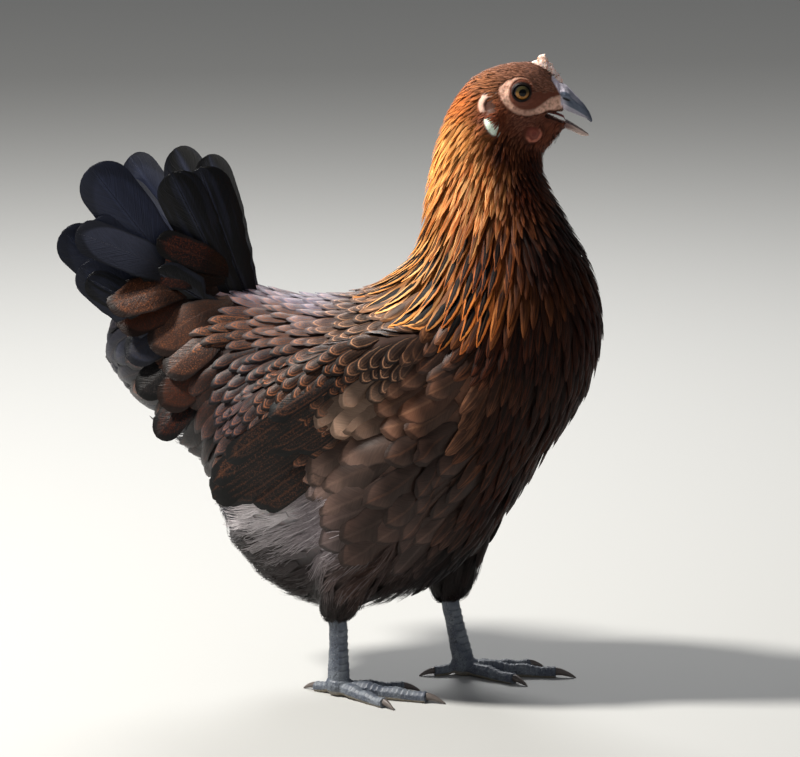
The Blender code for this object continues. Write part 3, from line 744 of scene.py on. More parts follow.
def drawn_in_skin():
    """The skin under the coat, fine on the head and coarse elsewhere."""
    mesh = soft_form("skin", FLESH_NODES, SKIN_VOXEL, 3)
    forward, up, out = head_places(points_of(mesh))
    body = up < NECK_TOP
    mesh = modified("skin", mesh, smoothing(BODY_ROUNDS), members=body)
    points = points_of(mesh)
    bare_gap = np.full(len(points), FURTHEST)
    bare_gap[~body] = distances(tree_of(FACE_NODES), points[~body])
    depth = Plumage(points).depth * ease(bare_gap, 0.8 * MM, 4 * MM)
    depth[~body] -= face_relief(points[~body])
    move_points(mesh, points - normals_of(mesh) * depth[:, None])
    return modified("skin", mesh, ("DECIMATE", {"ratio": SKIN_SHARE}), members=body)


skin = drawn_in_skin()
print("skin has", len(skin.vertices), "points")

# %% [markdown]
# Feathers need a surface to grow on and to be laid along. It answers one question quickly for
# many points: where is the nearest skin, and which way does it face there?

# %% The surface under the feathers
class Surface:
    """The skin, with smooth normals and a fast search for its nearest point."""

    def __init__(self, mesh):
        self.points = points_of(mesh)
        self.normals = normals_of(mesh)
        self.corners = corners_of(mesh)
        self.tree = BVHTree.FromPolygons(self.points.tolist(), self.corners.tolist())

    def nearest(self, places):
        """The nearest skin points to some places, and the blended normals there."""
        found = np.empty_like(places)
        faces = np.empty(len(places), int)
        for i, place in enumerate(places):
            found[i], _, faces[i], _ = self.tree.find_nearest(place)
        a, b, c = (self.corners[faces, k] for k in range(3))
        sharing = [np.cross(self.points[q] - found, self.points[r] - found)
                   for q, r in ((b, c), (c, a), (a, b))]
        shares = [np.linalg.norm(share, axis=1)[:, None] + 1e-12 for share in sharing]
        normal = sum(share * self.normals[k] for share, k in zip(shares, (a, b, c)))
        return found, unit(normal)

    def scatter(self, spacing_of, tries=5):
        """Spread points. spacing_of gives how far apart they are across and along the lie."""
        a, b, c = (self.points[self.corners[:, k]] for k in range(3))
        area = np.linalg.norm(np.cross(b - a, c - a), axis=1) / 2
        crowd = area / np.prod(spacing_of((a + b + c) / 3), 0)
        count = int(crowd.sum() * tries)
        face = chance.choice(len(crowd), count, p=crowd / crowd.sum())
        s, t = chance.random((2, count, 1))
        flip = s + t > 1
        s, t = np.where(flip, 1 - s, s), np.where(flip, 1 - t, t)
        places = a[face] + (b[face] - a[face]) * s + (c[face] - a[face]) * t
        across, along = spacing_of(places)
        lie = lie_of(*self.nearest(places))
        near = KDTree(count)
        for i, place in enumerate(places):
            near.insert(place, i)
        near.balance()
        alive = np.ones(count, bool)
        kept = []
        for i in range(count):
            if alive[i]:
                kept.append(i)
                close = [k for _, k, _ in near.find_range(places[i], max(across[i], along[i]))]
                gap = places[close] - places[i]
                ahead_gap = gap @ lie[i]
                side_gap = np.sqrt(np.maximum((gap * gap).sum(1) - ahead_gap ** 2, 0))
                reached = (side_gap / across[i]) ** 2 + (ahead_gap / along[i]) ** 2 < 1
                alive[np.array(close)[reached]] = False
        return places[kept]


surface = Surface(skin)

# %% [markdown]
# Each feather starts at its root, close to the skin, and follows the lie of the coat. It rises
# slowly to the outside of the coat, so its tip rests on the feathers further down, like a tile on
# a roof. All feathers of a coat take each step together.

# %% Laying feathers
ROOT_RISE = 0.10
TIP_DROP = 0.07
ROW_CROWDING = 1.5
# How much of the lie a feather takes on at every step.
BEND = 0.45


def row_shares(rows):
    """How far along a feather its rows stand: closer together towards the tip, which shows."""
    return 1 - (1 - np.arange(rows + 1) / rows) ** ROW_CROWDING


def laid_spines(roots, rows, turn_jitter, lengths, depth_share):
    """Spine points and normals of feathers, as arrays by row, feather and axis."""
    spines = np.empty((rows + 1, len(roots), 3))
    normals = np.empty_like(spines)
    place, normal = surface.nearest(roots)
    heading = lie_of(place, normal)
    aside = np.cross(normal, heading)
    heading = heading + aside * np.tan(turn_jitter)[:, None]
    shares = row_shares(rows)
    for k, share in enumerate(shares):
        if k:
            step = (share - shares[k - 1]) * lengths
            place, normal = surface.nearest(place + heading * step[:, None])
            heading = (1 - BEND) * heading + BEND * lie_of(place, normal)
        heading = unit(flattened(heading, normal))
        traits = Plumage(place)
        height = traits.depth * (ROOT_RISE + (1 - ROOT_RISE) * share) * depth_share
        height -= TIP_DROP * traits.width * ease(share, 0.8, 1.05)
        spines[k] = place + normal * height[:, None]
        normals[k] = normal
    return spines, normals


# %% [markdown]
# A vane is a small grid, widest past its middle, that bends down to both sides of the shaft.
# Round, pointed and ragged feathers differ only in how the width runs from root to tip.

# %% Vane outlines
NARROWEST = 0.07


def vane_widths(rows, point, loose):
    """Half widths as shares of the widest, by row, feather and side of the shaft."""
    t = row_shares(rows)[:, None]
    grown = np.minimum(1, 0.42 + 1.5 * t)
    rounded = grown * np.sqrt(np.clip(1 - np.clip((t - 0.66) / 0.345, 0, 1) ** 2.2, 0, 1))
    pointed = grown * (1 - np.clip((t - 0.4) / 0.6, 0, 1) ** 1.5)
    widths = rounded * (1 - point) + pointed * point
    tatter = 1 - (0.03 + 0.35 * loose) * chance.random((2, rows + 1, len(point))) ** 1.5
    widths = np.maximum(widths[None] * tatter, NARROWEST)
    return np.moveaxis(widths, 0, 2)


# %% [markdown]
# The coat pieces get two UV maps. The one named vane runs across and along every feather, and
# the shaders draw shaft, barbs and lacing by it. The one named OFBake gives each feather a small
# patch of its own. The patch lies where the feather's root falls when the skin is unrolled: a
# neck is unrolled round the upright axis and a body round the lengthwise one.

# %% Patches for baking
PATCH, PITCH = 0.003, 0.004


def unrolled(roots, upright):
    """The roots on the unrolled skin, stretched to fill the unit square."""
    middle = roots.mean(0)
    x, y, z = (roots - middle).T
    turn, along = (np.arctan2(y, x), z) if upright else (np.arctan2(y, z), x)
    flat = np.stack((turn, along), 1)
    low, high = flat.min(0), flat.max(0)
    return (flat - low) / (high - low)


def patch_corners(roots, upright):
    """The lower left corner of each feather's own patch: the free one nearest its root."""
    across = int(1 / PITCH) - 2
    wanted = np.rint(unrolled(roots, upright) * (across - 1)).astype(int)
    taken = set()
    corners = np.empty((len(roots), 2))
    for i, (u, v) in enumerate(wanted):
        reach = 0
        free = None
        while free is None:
            options = [(u + k, v + m) for k in range(-reach, reach + 1) for m in range(-reach, reach + 1)
                       if max(abs(k), abs(m)) == reach]
            free = next((cell for cell in options
                         if cell not in taken and 0 <= min(cell) and max(cell) < across), None)
            reach += 1
        taken.add(free)
        corners[i] = free
    return corners * PITCH + PITCH


# %% [markdown]
# One function turns spines and widths into a mesh. It writes the vertices, faces, UV maps and
# colours straight from arrays.

# %% Building vanes
def across_spines(spines, normals):
    """Unit vectors along the surface, square to the feathers."""
    return unit(np.cross(normals, np.gradient(spines, axis=0)))


def vane_mesh(name, spines, normals, half_width, columns, marks, patches, curve, strand=(0, 1),
              roll=0.0, patch=(PATCH, PATCH)):
    """Vanes along spines. marks holds a value or colour for each feather, by attribute name."""
    rows, count = spines.shape[0] - 1, spines.shape[1]
    aside = across_spines(spines, normals)
    roll = chance.normal(roll, 0.08, count)
    shares = np.linspace(-1, 1, columns + 1)
    grid = np.empty((rows + 1, columns + 1, count, 3))
    for i, share in enumerate(shares):
        reach = share * np.where(share < 0, half_width[:, :, 0], half_width[:, :, 1])
        drop = -curve * np.abs(share) * np.abs(reach) + roll * reach
        grid[:, i] = spines + aside * reach[:, :, None] + normals * drop[:, :, None]
    number = np.arange((rows + 1) * (columns + 1) * count).reshape(rows + 1, columns + 1, count)
    quads = np.stack((number[:-1, :-1], number[1:, :-1], number[1:, 1:], number[:-1, 1:]), -1)
    quads = quads.reshape(-1, 4)
    mesh = bpy.data.meshes.new(name)
    mesh.vertices.add(number.size)
    mesh.vertices.foreach_set("co", grid.ravel())
    mesh.loops.add(quads.size)
    mesh.loops.foreach_set("vertex_index", quads.ravel())
    mesh.polygons.add(len(quads))
    mesh.polygons.foreach_set("loop_start", np.arange(0, quads.size, 4))
    mesh.polygons.foreach_set("loop_total", np.full(len(quads), 4))
    mesh.update(calc_edges=True)
    first, last = strand
    u = np.empty_like(number, float)
    u[:] = first + (last - first) * ((shares + 1) / 2)[None, :, None]
    v = np.empty_like(number, float)
    v[:] = row_shares(rows)[:, None, None]
    vane = np.stack((u, v), -1)
    bake = patches[None, None] + vane * np.array(patch)
    for layer, coordinates in (("OFBake", bake), ("vane", vane)):
        flat = coordinates.reshape(-1, 2)[quads.ravel()]
        mesh.uv_layers.new(name=layer).data.foreach_set("uv", flat.ravel())
    for attribute, values in marks.items():
        spread = np.broadcast_to(values, (rows + 1, columns + 1) + values.shape)
        paint(mesh, **{attribute: spread.reshape((number.size,) + values.shape[1:])})
    return mesh


# %% [markdown]
# Tail and flight feathers are few and large. They use the same vanes with more rows and columns
# and with a bake patch as large as the square has room for. The tail feathers also get shafts
# that stand up as slim ridges.

# %% Large feathers
PATCH_MARGIN = 0.01


def large_marks(count, main, edge, marks, shaft, loose=0.2):
    """Main and edge tones, marks and hints of large feathers, which differ only by chance."""
    hints = np.stack((np.full(count, shaft), chance.random(count), np.full(count, loose)), 1)
    made = {"main": main, "edge": edge, "marks": marks}
    made = {word: np.broadcast_to(values, (count, 3)) for word, values in made.items()}
    return {**made, "hints": hints}


def grid_patches(count):
    """Corners and size of one large patch for each of a few feathers, in rows and columns."""
    across = math.ceil(math.sqrt(count))
    down = math.ceil(count / across)
    number = np.arange(count)
    corners = np.stack((number % across / across, number // across / down), 1) + PATCH_MARGIN
    return corners, (1 / across - 2 * PATCH_MARGIN, 1 / down - 2 * PATCH_MARGIN)


def large_feathers(name, spines, normals, widths, marks, columns=8, curve=0.14, roll=0.0):
    """widths holds the half width by row and feather."""
    corners, size = grid_patches(spines.shape[1])
    both = np.stack((widths, widths), -1)
    return vane_mesh(name, spines, normals, both, columns, marks, corners, curve, roll=roll, patch=size)


def feather_shafts(name, spines, normals, thickness, marks):
    """The shafts, as slim ridges that stand on the vanes and taper to the tip."""
    rows, count = spines.shape[0] - 1, spines.shape[1]
    taper = (1 - 0.75 * row_shares(rows))[:, None] * np.full((1, count), thickness)
    raised = spines + normals * (taper[..., None] * 0.9 + 0.05 * MM)
    return large_feathers(name, raised, normals, taper, marks, 2, 0.9)


def round_tip(reach, widths):
    """Half widths that close in a half circle, where reach is the way left to the tip."""
    radius = np.max(widths[-6:], axis=0)
    left = np.clip(reach / radius, 0, 1)
    return np.minimum(widths, radius * np.sqrt(np.clip(1 - (1 - left) ** 2, 0.002, 1)))


# %% [markdown]
# A feather's finish follows its own map. Barbs run out from the shaft and forwards, lacing
# follows the outline, a dark stripe may fill the middle, and fine stippling may cover the rest.
# Near the root, where other feathers cover it, a vane is painted darker as their shade, and is downier.

# %% The feather finish
STRIPE_TONE = paint_tone(7, 7, 11)


def feather_finish(name, roughness=0.55, relief=0.5, fringe=0.0, cover=(0.60, 0.86), streaks=0.0,
                   gloss=0.22, sheen=0.05, barbs=46, uneven=0.4):
    """fringe darkens the outline, cover says where along a feather the next ones lie on it and where their
    painted shade ends.
    """
    bench = Bench(name, Sheen_Weight=sheen, Sheen_Roughness=0.35, Specular_IOR_Level=gloss)
    vane = bench.node("ShaderNodeUVMap", {"uv_map": "vane"}, output="UV")
    across, along, _ = bench.parts(vane)
    side = abs(across * 2 - 1)
    main, edge = (bench.attribute(word, "Color") for word in ("main", "edge"))
    lace, stripe, stipple = bench.parts(bench.attribute("marks", "Vector"))
    shaft, luck, loose = bench.parts(bench.attribute("hints", "Vector"))
    # Barbs leave the shaft forwards, so a line of one barb has along - side about constant.
    barb = along - side * 0.22
    half = across.between(0.49, 0.51)
    fine = bench.noise(bench.vector(barb * barbs, side * 1.2 + half * 5, luck * 91), 1.0, 1.0)
    broad = bench.noise(bench.vector(barb * barbs * 0.28, side * 2 + half * 5, luck * 37), 1.0, 2.0)
    speck = bench.noise(bench.place(), 1050, 2.0)
    # The distance to the outline, which closes round the tip.
    rim = (side ** 2 + along.between(0.62, 1.0) ** 2) ** 0.5
    ring = rim.between(0.66, 0.73) * rim.between(0.85, 0.79)
    inner = rim.between(0.26, 0.36) * rim.between(0.52, 0.42) * stipple * 0.8
    marked = (ring + inner) * lace * (0.35 + fine * 1.1)
    marked = marked + speck.between(0.52, 0.64) * stipple * rim.between(1.0, 0.8, 0.0, 0.75)
    if streaks:
        streak = bench.noise(bench.vector(across * 5, along * 1.4, luck * 61), 1.0, 2.0, 0.7)
        marked = marked + streak.between(0.46, 0.62) * streaks
    colour = bench.mix(marked.least(1.0), main, edge)
    pointed = side + along.between(0.88, 0.98, 0.0, 0.5) + along.between(0.48, 0.34, 0.0, 0.5)
    striped = pointed.between(0.58, 0.48) * (stripe * 1.4)
    colour = bench.mix(striped.least(1.0), colour, STRIPE_TONE)
    shafted = side.between(0.13, 0.04) * shaft * along.between(0.15, 0.4)
    colour = bench.mix(shafted * 0.7, colour, bench.scaled(edge, 1.25))
    # Loose feathers blend into one another, firm ones lie in each other's shade.
    shade = along.between(*cover)
    light = (shade + (1 - shade) * (0.16 + loose * 0.8)) * (0.55 + fine * 0.6 + broad * 0.4)
    light = light * (1 - uneven / 2 + luck * uneven)
    if fringe:
        light = light * rim.between(0.86, 1.0, 1.0, 1 - fringe)
    rough = roughness + 0.15 - fine * 0.3
    return bench.finished(bench.scaled(colour, light), rough, fine + broad * 0.5, relief, 0.25 * MM)


# %% [markdown]
# Now the coats. Roots are scattered over the whole skin at once, so that no tract shows an edge,
# and are then shared out by tract. The loose feathers of the fluff are split into fine strands.

# %% Roots of all small feathers
SPACING_ACROSS = 0.62
SPACING_ALONG = 0.24
LOOSE_FROM = 0.66
WATTLE_REACH = 6.0
LOBE_MIDDLE, LOBE_HALF, LOBE_LEAN, LOBE_EDGE = (-18.2, -21.0), (7.4, 4.0), -57, 0.35
BARE_EDGE = 1.0 * MM


def lobe_mask(forward, up):
    """1 on the part of the earlobe that shows, 0 outside it."""
    reach = np.hypot(*in_oval(forward, up, LOBE_MIDDLE, LOBE_HALF, LOBE_LEAN))
    return 1 - ease(reach, 1 - LOBE_EDGE / 2, 1 + LOBE_EDGE / 2)


def bare(points):
    """Which places grow no feathers."""
    masks = bare_masks(points)
    forward, up, out = head_places(points)
    covered = sum(masks[word] for word in ("lid", "pale", "ear", "ear rim", "cere"))
    # The rest of the earlobe is hidden by short feathers that hang over it.
    wattle = (around(forward, up, WATTLE)[0] < WATTLE_REACH) & (np.abs(out) > 6)
    return (covered + lobe_mask(forward, up) > 0.5) | wattle


def feather_spacing(places):
    """Across the lie feathers stand by their width, along it by their length."""
    traits = Plumage(places)
    return traits.width * SPACING_ACROSS, traits.length * SPACING_ALONG


roots = surface.scatter(feather_spacing)
forward, up, out = head_places(roots)
near_head = up > NECK_FOOT
gap = np.full(len(roots), FURTHEST)
grown_over = ("earlobe_left", "earlobe_right")
hard_tree = tree_of([node for node in FACE_NODES if node not in grown_over])
gap[near_head] = distances(hard_tree, roots[near_head])
roots = roots[(gap > BARE_EDGE) & ~bare(roots)]
traits = Plumage(roots)
print(len(roots), "roots,", dict(zip(COATS, np.bincount(traits.coat, minlength=len(COATS)).tolist())))

# %% Coats
# For each coat: rows and columns of a vane, a slot name, and which way it unrolls.
COAT_PLANS = {
    "head": (3, 2, "face_skin", True),
    "neck": (8, 2, "hackle_feather", True),
    "breast": (7, 4, "body_feather", True),
    "back": (8, 4, "body_feather", False),
    "wing": (8, 4, "wing_feather", False),
    "thigh": (8, 4, "thigh_feather", False),
    "fluff": (7, 2, "body_feather", False),
    "tail": (8, 4, "tail_feather", False),
}
finishes = {
    "head": feather_finish("face_feathers", 0.6, cover=(0.2, 0.7), streaks=0.3, gloss=0.15, uneven=0.8),
    "neck": feather_finish("hackle_feathers", 0.5, cover=(0.40, 0.76), streaks=0.7, gloss=0.1, uneven=0.8),
    "breast": feather_finish("breast_feathers", 0.6, streaks=0.5, gloss=0.12),
    "back": feather_finish("saddle_feathers", 0.5, fringe=0.45, streaks=0.15),
    "wing": feather_finish("wing_feathers", 0.5, fringe=0.8),
    "thigh": feather_finish("thigh_feathers", 0.5, fringe=0.6),
    "fluff": feather_finish("fluff_feathers", 0.7, cover=(0.0, 0.35), sheen=0.15, uneven=0.3),
    "tail": feather_finish("tail_feathers", 0.42, fringe=0.7),
    "flight": feather_finish("flight_feathers", 0.45, fringe=0.6, cover=(0.10, 0.55), barbs=80),
    "blade": feather_finish("tail_blades", 0.38, 0.9, 0.4, (0.02, 0.3), 0.3, 0.22, barbs=120),
    "covert": feather_finish("tail_coverts", 0.45, 0.8, 0.7, (0.3, 0.6), 0.12, 0.2, barbs=90),
}
# A tract with fewer feathers of one kind than this goes without them.
FEWEST = 20
STRANDS = 16
STRAND_ROWS = 5
STRAND_WIDTH = 0.42 * MM


def pick(traits, members):
    """The traits of some of the feathers."""
    made = object.__new__(Plumage)
    for word, values in vars(traits).items():
        setattr(made, word, values[members])
    return made


def feather_marks(traits, luck):
    """The tones, marks and hints of small feathers, by attribute name."""
    return {
        "main": traits.main,
        "edge": traits.edge,
        "marks": np.stack((traits.lace, traits.stripe, traits.stipple), 1),
        "hints": np.stack((traits.shaft, luck, traits.loose), 1),
    }


def grown_spines(roots, traits, rows, lengths, jitter, heights):
    """Spines that differ by chance in length, direction and height over the skin."""
    length = traits.length * chance.uniform(*lengths, len(roots))
    turn = chance.normal(0, jitter, len(roots))
    return laid_spines(roots, rows, turn, length, chance.uniform(*heights, len(roots)))


def strand_coat(name, roots, traits, patches):
    """Loose feathers as bundles of fine strands that fan out from the shaft."""
    count = len(roots)
    plan = (STRAND_ROWS, (0.85, 1.15), math.radians(11), (0.75, 1.12))
    spines, normals = grown_spines(roots, traits, *plan)
    aside = across_spines(spines, normals)
    t = row_shares(STRAND_ROWS)[:, None]
    many_spines = []
    for k in range(STRANDS):
        share = 2 * (k + 0.5) / STRANDS - 1
        wave = chance.normal(0, 0.10, (1, count)) * np.sin(t * 5 + chance.random(count) * 6)
        reach = (share * (0.25 + 0.75 * t ** 0.7) + wave) * traits.width / 2
        short = 1 - (0.25 * abs(share) + 0.15 * chance.random(count)) * t
        path = spines[0] + (spines - spines[0]) * short[:, :, None]
        lift = chance.normal(0, 0.35 * MM, count) * t
        many_spines.append(path + aside * reach[:, :, None] + normals * lift[:, :, None])
    marks = feather_marks(traits, chance.random(count))
    marks = {word: np.tile(values, (STRANDS, 1)) for word, values in marks.items()}
    taper = (1.05 - 0.75 * t)[:, :, None] * np.ones((1, count * STRANDS, 2)) * STRAND_WIDTH
    first = np.repeat(np.arange(STRANDS) / STRANDS, count)
    return vane_mesh(
        name, np.concatenate(many_spines, 1), np.tile(normals, (1, STRANDS, 1)), taper, 1, marks,
        np.tile(patches, (STRANDS, 1)), 0.0, (first, first + 1 / STRANDS))


def vane_coat(name, roots, traits, patches, rows, columns):
    """Feathers with closed vanes."""
    jitter = math.radians(4) + math.radians(13) * traits.loose ** 2
    spines, normals = grown_spines(roots, traits, rows, (0.88, 1.12), jitter, (0.94, 1.05))
    widths = vane_widths(rows, traits.point, traits.loose) * (traits.width / 2)[None, :, None]
    marks = feather_marks(traits, chance.random(len(roots)))
    return vane_mesh(name, spines, normals, widths, columns, marks, patches, 0.30)


for k, coat in enumerate(COATS):
    rows, columns, slot, upright = COAT_PLANS[coat]
    members = np.flatnonzero(traits.coat == k)
    loose = (traits.loose[members] > LOOSE_FROM) | (coat == "fluff")
    for word, chosen in (("vanes", ~loose), ("down", loose)):
        some = members[chosen]
        if len(some) < FEWEST:
            continue
        name = f"{coat}_{word}"
        plan = (name, roots[some], pick(traits, some), patch_corners(roots[some], upright))
        mesh = vane_coat(*plan, rows, columns) if word == "vanes" else strand_coat(*plan)
        add_piece(name, mesh, finishes[coat])

# %% [markdown]
# Under the feathers the skin is as dark as they are. On the face it shows: pale pink round and
# below the eye and on the rim of the ear, mint white on the earlobe, almost white on the small
# comb. The masks that keep feathers away also colour the skin, so both always agree.

# %% Skin colours
BARE_TONES = {
    "lid": tone(104, 60, 46),
    "pale": tone(222, 176, 154),
    "ear": tone(84, 58, 48),
    "ear rim": tone(214, 176, 158),
    "cere": tone(206, 198, 212),
}
LOBE_TONES = {
    "comb": tone(240, 214, 204),
    "wattle_left": tone(104, 52, 42),
    "wattle_right": tone(104, 52, 42),
    "earlobe_left": tone(96, 60, 46),
    "earlobe_right": tone(96, 60, 46),
}
LOBE_TONE = tone(222, 236, 220)
COMB_STREAK = tone(214, 158, 128)
FOLD_TONE = tone(176, 106, 86)
COMB_GRAIN = (900, 900, 260)


def toned(colours, new_tone, share):
    """The colours, of which each takes on its share of a new tone."""
    return colours + (new_tone - colours) * share[:, None]


def skin_colours(points):
    """The colour of the skin at some points, and how bare it is there."""
    colours = Plumage(points).main * 0.8
    masks = bare_masks(points)
    bareness = sum(masks.values()).clip(0, 1)
    forward, up, out = head_places(points)
    face = np.flatnonzero(up > NECK_FOOT)
    near = points[face]
    blotch = np.zeros(len(points))
    blotch[face] = noise_at(near, 520) + noise_at(near, 1300) * 0.6
    strength = np.interp(around(forward, up)[1], *zip(*PALE_STRENGTH))
    masks["pale"] = masks["pale"] * strength * (1 - 0.55 * ease(blotch, -0.1, 0.5))
    for word, mask in masks.items():
        colours = toned(colours, BARE_TONES[word], mask)
    for node, lobe_tone in LOBE_TONES.items():
        share = nearness(near, node)
        colours[face] = toned(colours[face], lobe_tone, share)
        bareness[face] = np.maximum(bareness[face], share)
        if node == "comb":
            streak = noise_at(near * COMB_GRAIN, 1)
            colours[face] = toned(colours[face], COMB_STREAK, share * ease(streak, 0.0, 0.4))
    lobe = lobe_mask(forward, up) * (np.abs(out) > 14)
    colours = toned(colours, LOBE_TONE, lobe)
    fold = wattle_fold(forward[face], up[face], noise_at(near, LUMP_SCALE)) * (up[face] < WATTLE_TOP)
    colours[face] = toned(colours[face], FOLD_TONE, (fold * 0.8).clip(0, 1))
    return colours, np.maximum(bareness, lobe)


def skin_finish():
    bench = Bench("skin", Subsurface_Weight=0.12, Subsurface_Scale=0.002, Specular_IOR_Level=0.2)
    place = bench.place()
    bareness = bench.attribute("bareness")
    blotch = bench.noise(place, 420, 3.0)
    pore = bench.cells(place, 1500)
    wrinkle = bench.noise(place, 1400, 2.0)
    colour = bench.scaled(bench.attribute("main", "Color"), 0.72 + blotch * 0.45 + pore * 0.12)
    rough = 0.62 - bareness * 0.16 + blotch * 0.1
    return bench.finished(colour, rough, pore + wrinkle, 0.35, 0.15 * MM)


colours, bareness = skin_colours(points_of(skin))
paint(skin, main=colours, bareness=bareness)
skin_material = skin_finish()
add_piece("skin", skin, skin_material, FLESH_NODES)

# %% [markdown]
# The tail feathers stand where the thin solids stand. Each solid tells its own length, its width
# at every height and its facing, so the feather that replaces it has the same outline.

# %% Tail feathers
TAIL_ROWS = 24
TAIL_ROOT_LENGTH = 22 * MM
TAIL_BOW = 1.2 * MM
TAIL_SHAFT = 0.75 * MM
SLICE_SHARE = 0.09


def blade_spine(node):
    """Spine points, facing and half widths of the feather that fills a thin solid."""
    points = solid_points(node)
    middle = points.mean(0)
    _, _, axes = np.linalg.svd(points - middle)
    along, wide, facing = axes
    along = along * (-1 if along[0] > 0 else 1)
    facing = facing * (1 if facing[1] * middle[1] > 0 else -1)
    at = (points - middle) @ along
    reach = np.abs((points - middle) @ wide)
    low, high = at.min(), at.max()
    places = np.linspace(low, high, TAIL_ROWS + 1)
    slice_half = (high - low) * SLICE_SHARE
    measured = [reach[np.abs(at - place) < slice_half].max(initial=0) for place in places]
    start = low - TAIL_ROOT_LENGTH
    shares = start + (high - start) * row_shares(TAIL_ROWS)
    spine = middle + shares[:, None] * along
    widths = round_tip(high - shares, np.interp(shares, places, measured))
    return spine, np.tile(facing, (TAIL_ROWS + 1, 1)), widths


blade_words = ("tail_feather", "tail_covert")
tail_nodes = [node for node in sorted(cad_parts) if node.startswith(blade_words)]
blades = [blade_spine(node) for node in tail_nodes]
tail_spines, tail_facings, tail_widths = (np.stack(arrays, 1) for arrays in zip(*blades))
# A light sideways bow keeps the feathers from looking like boards.
bow = np.sin(row_shares(TAIL_ROWS) * math.pi)[:, None, None] * TAIL_BOW
tail_spines = tail_spines + tail_facings * bow
# The grey edge tone, drawn in streaks over the blades, is a painted blue-grey sheen on the black.
black, grey, slate = tone(6, 7, 13), tone(40, 44, 60), tone(34, 37, 50)
# The outer blades are painted slate grey as a painted sheen where they face the light, and the one next to
# the middle stays black.
painted_sheen_blades = [any(word in node for word in ("_3", "_4", "_5", "_6")) for node in tail_nodes]
mains = np.where(np.array(painted_sheen_blades)[:, None], slate, black)
tail_marks = large_marks(len(tail_nodes), mains, grey, (0.0, 0.0, 0.0), 0.8)
tail_mesh = large_feathers("tail_fan", tail_spines, tail_facings, tail_widths, tail_marks)
add_piece("tail_fan", tail_mesh, finishes["blade"], tail_nodes)
shafts = feather_shafts("tail_shafts", tail_spines, tail_facings, TAIL_SHAFT, tail_marks)
add_piece("tail_shafts", shafts, finishes["blade"])

# %% [markdown]
# Large round coverts cover the roots of the tail. They stand in a few loose rows on each side:
# broad brown ones end the saddle, and one long covert, painted slate grey as a painted sheen, sweeps up
# over the tail feathers.

# %% Tail coverts
# For each covert: its root and its tip as x, distance from the middle plane and z in mm, its
# width in mm, the tones of its middle and its edges, and how far it bows outwards in mm.
LARGE_COVERTS = (
    # The first, long covert's slate grey is a painted sheen.
    ((-84, 28, 262), (-160, 58, 297), 25, "slate", "slate", 5),
    ((-62, 14, 266), (-112, 38, 291), 19, "soot", "chestnut", 4),
    ((-70, 24, 266), (-122, 42, 271), 22, "soot", "chestnut", 4),
    ((-88, 36, 262), (-141, 52, 250), 25, "brown", "rust", 6),
    ((-76, 28, 262), (-136, 46, 235), 26, "brown", "chestnut", 5),
    ((-66, 32, 255), (-113, 49, 222), 25, "umber", "rust", 5),
    ((-84, 34, 244), (-131, 43, 214), 25, "slate", "smoke", 4),
    ((-60, 38, 242), (-101, 54, 206), 25, "brown", "rust", 5),
    ((-80, 38, 226), (-123, 44, 191), 24, "soot", "smoke", 4),
    ((-64, 44, 222), (-104, 55, 186), 24, "brown", "chestnut", 4),
    ((-76, 44, 204), (-108, 52, 165), 22, "soot", "chestnut", 4),
)
COVERT_ROOTS, COVERT_TIPS, COVERT_WIDTHS, COVERT_MAINS, COVERT_EDGES, COVERT_BOWS = zip(*LARGE_COVERTS)
COVERT_ROWS = 14
ROOT_SINK = 7 * MM


def covert_spines(side):
    """Spines, facings and half widths of the large coverts of one side."""
    t = row_shares(COVERT_ROWS)[:, None]
    root, tip = (np.array(ends) * (1, side, 1) * MM for ends in (COVERT_ROOTS, COVERT_TIPS))
    out = unit(flattened(np.array((0.0, side * 0.92, 0.39)), unit(tip - root)))
    rise = (np.sin(t * math.pi) * 0.6 + t * 0.4) * np.array(COVERT_BOWS) * MM
    rise = rise - ROOT_SINK * (1 - ease(t, 0.0, 0.45))
    spines = root + (tip - root) * t[..., None] + out * rise[..., None]
    length = np.linalg.norm(tip - root, axis=1)
    widths = np.minimum(1, 0.3 + 1.5 * t) * np.array(COVERT_WIDTHS) / 2 * MM
    return spines, np.broadcast_to(out, spines.shape), round_tip(length * (1 - t), widths)


covert_mains, covert_edges = (
    np.array([TONES[word] for word in words]) for words in (COVERT_MAINS, COVERT_EDGES))
for side, word in SIDE_NAMES.items():
    spines, facings, widths = covert_spines(side)
    marks = (0.1, 0.0, 0.65)
    marks = large_marks(len(LARGE_COVERTS), covert_mains, covert_edges * 0.7, marks, 0.15)
    mesh = large_feathers(f"tail_coverts_{word}", spines, facings, widths, marks, 8, 0.13)
    add_piece(f"tail_coverts_{word}", mesh, finishes["covert"])

# %% [markdown]
# The folded wing shows the ends of its flight feathers, packed like a closed fan, with a row of
# long coverts over their roots. The innermost feather lies outside and on top, and each next one
# comes out lower, from beneath it. They are placed by wing coordinates: how far from shoulder to
# tip, and how far across.

# %% Flight feathers
wing_low, wing_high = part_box("wing_right")
WING_TIP = np.array((wing_low.x + 3 * MM, wing_low.z + 8 * MM))
SHOULDER = np.array((wing_high.x - 4 * MM, wing_high.z - 32 * MM))
WING_ROWS = 14
WING_ROLL = 0.12
WING_ROOT_SINK = 7.0
# For each row of feathers: how many, root and tip as shares of the wing, across the wing in mm at
# the root and at the tip from the innermost feather to the outermost, width and height in mm.
WING_ROWS_OF = {
    "flight": (8, (0.40, 0.50), (0.86, 1.03), (24, -18), (18, -21), 15.0, (2.5, 8.0)),
    "coverts": (5, (0.24, 0.34), (0.58, 0.70), (30, -2), (28, -3), 14.0, (1.5, 6.0)),
}
print("wing from", SHOULDER.round(3), "to", WING_TIP.round(3))


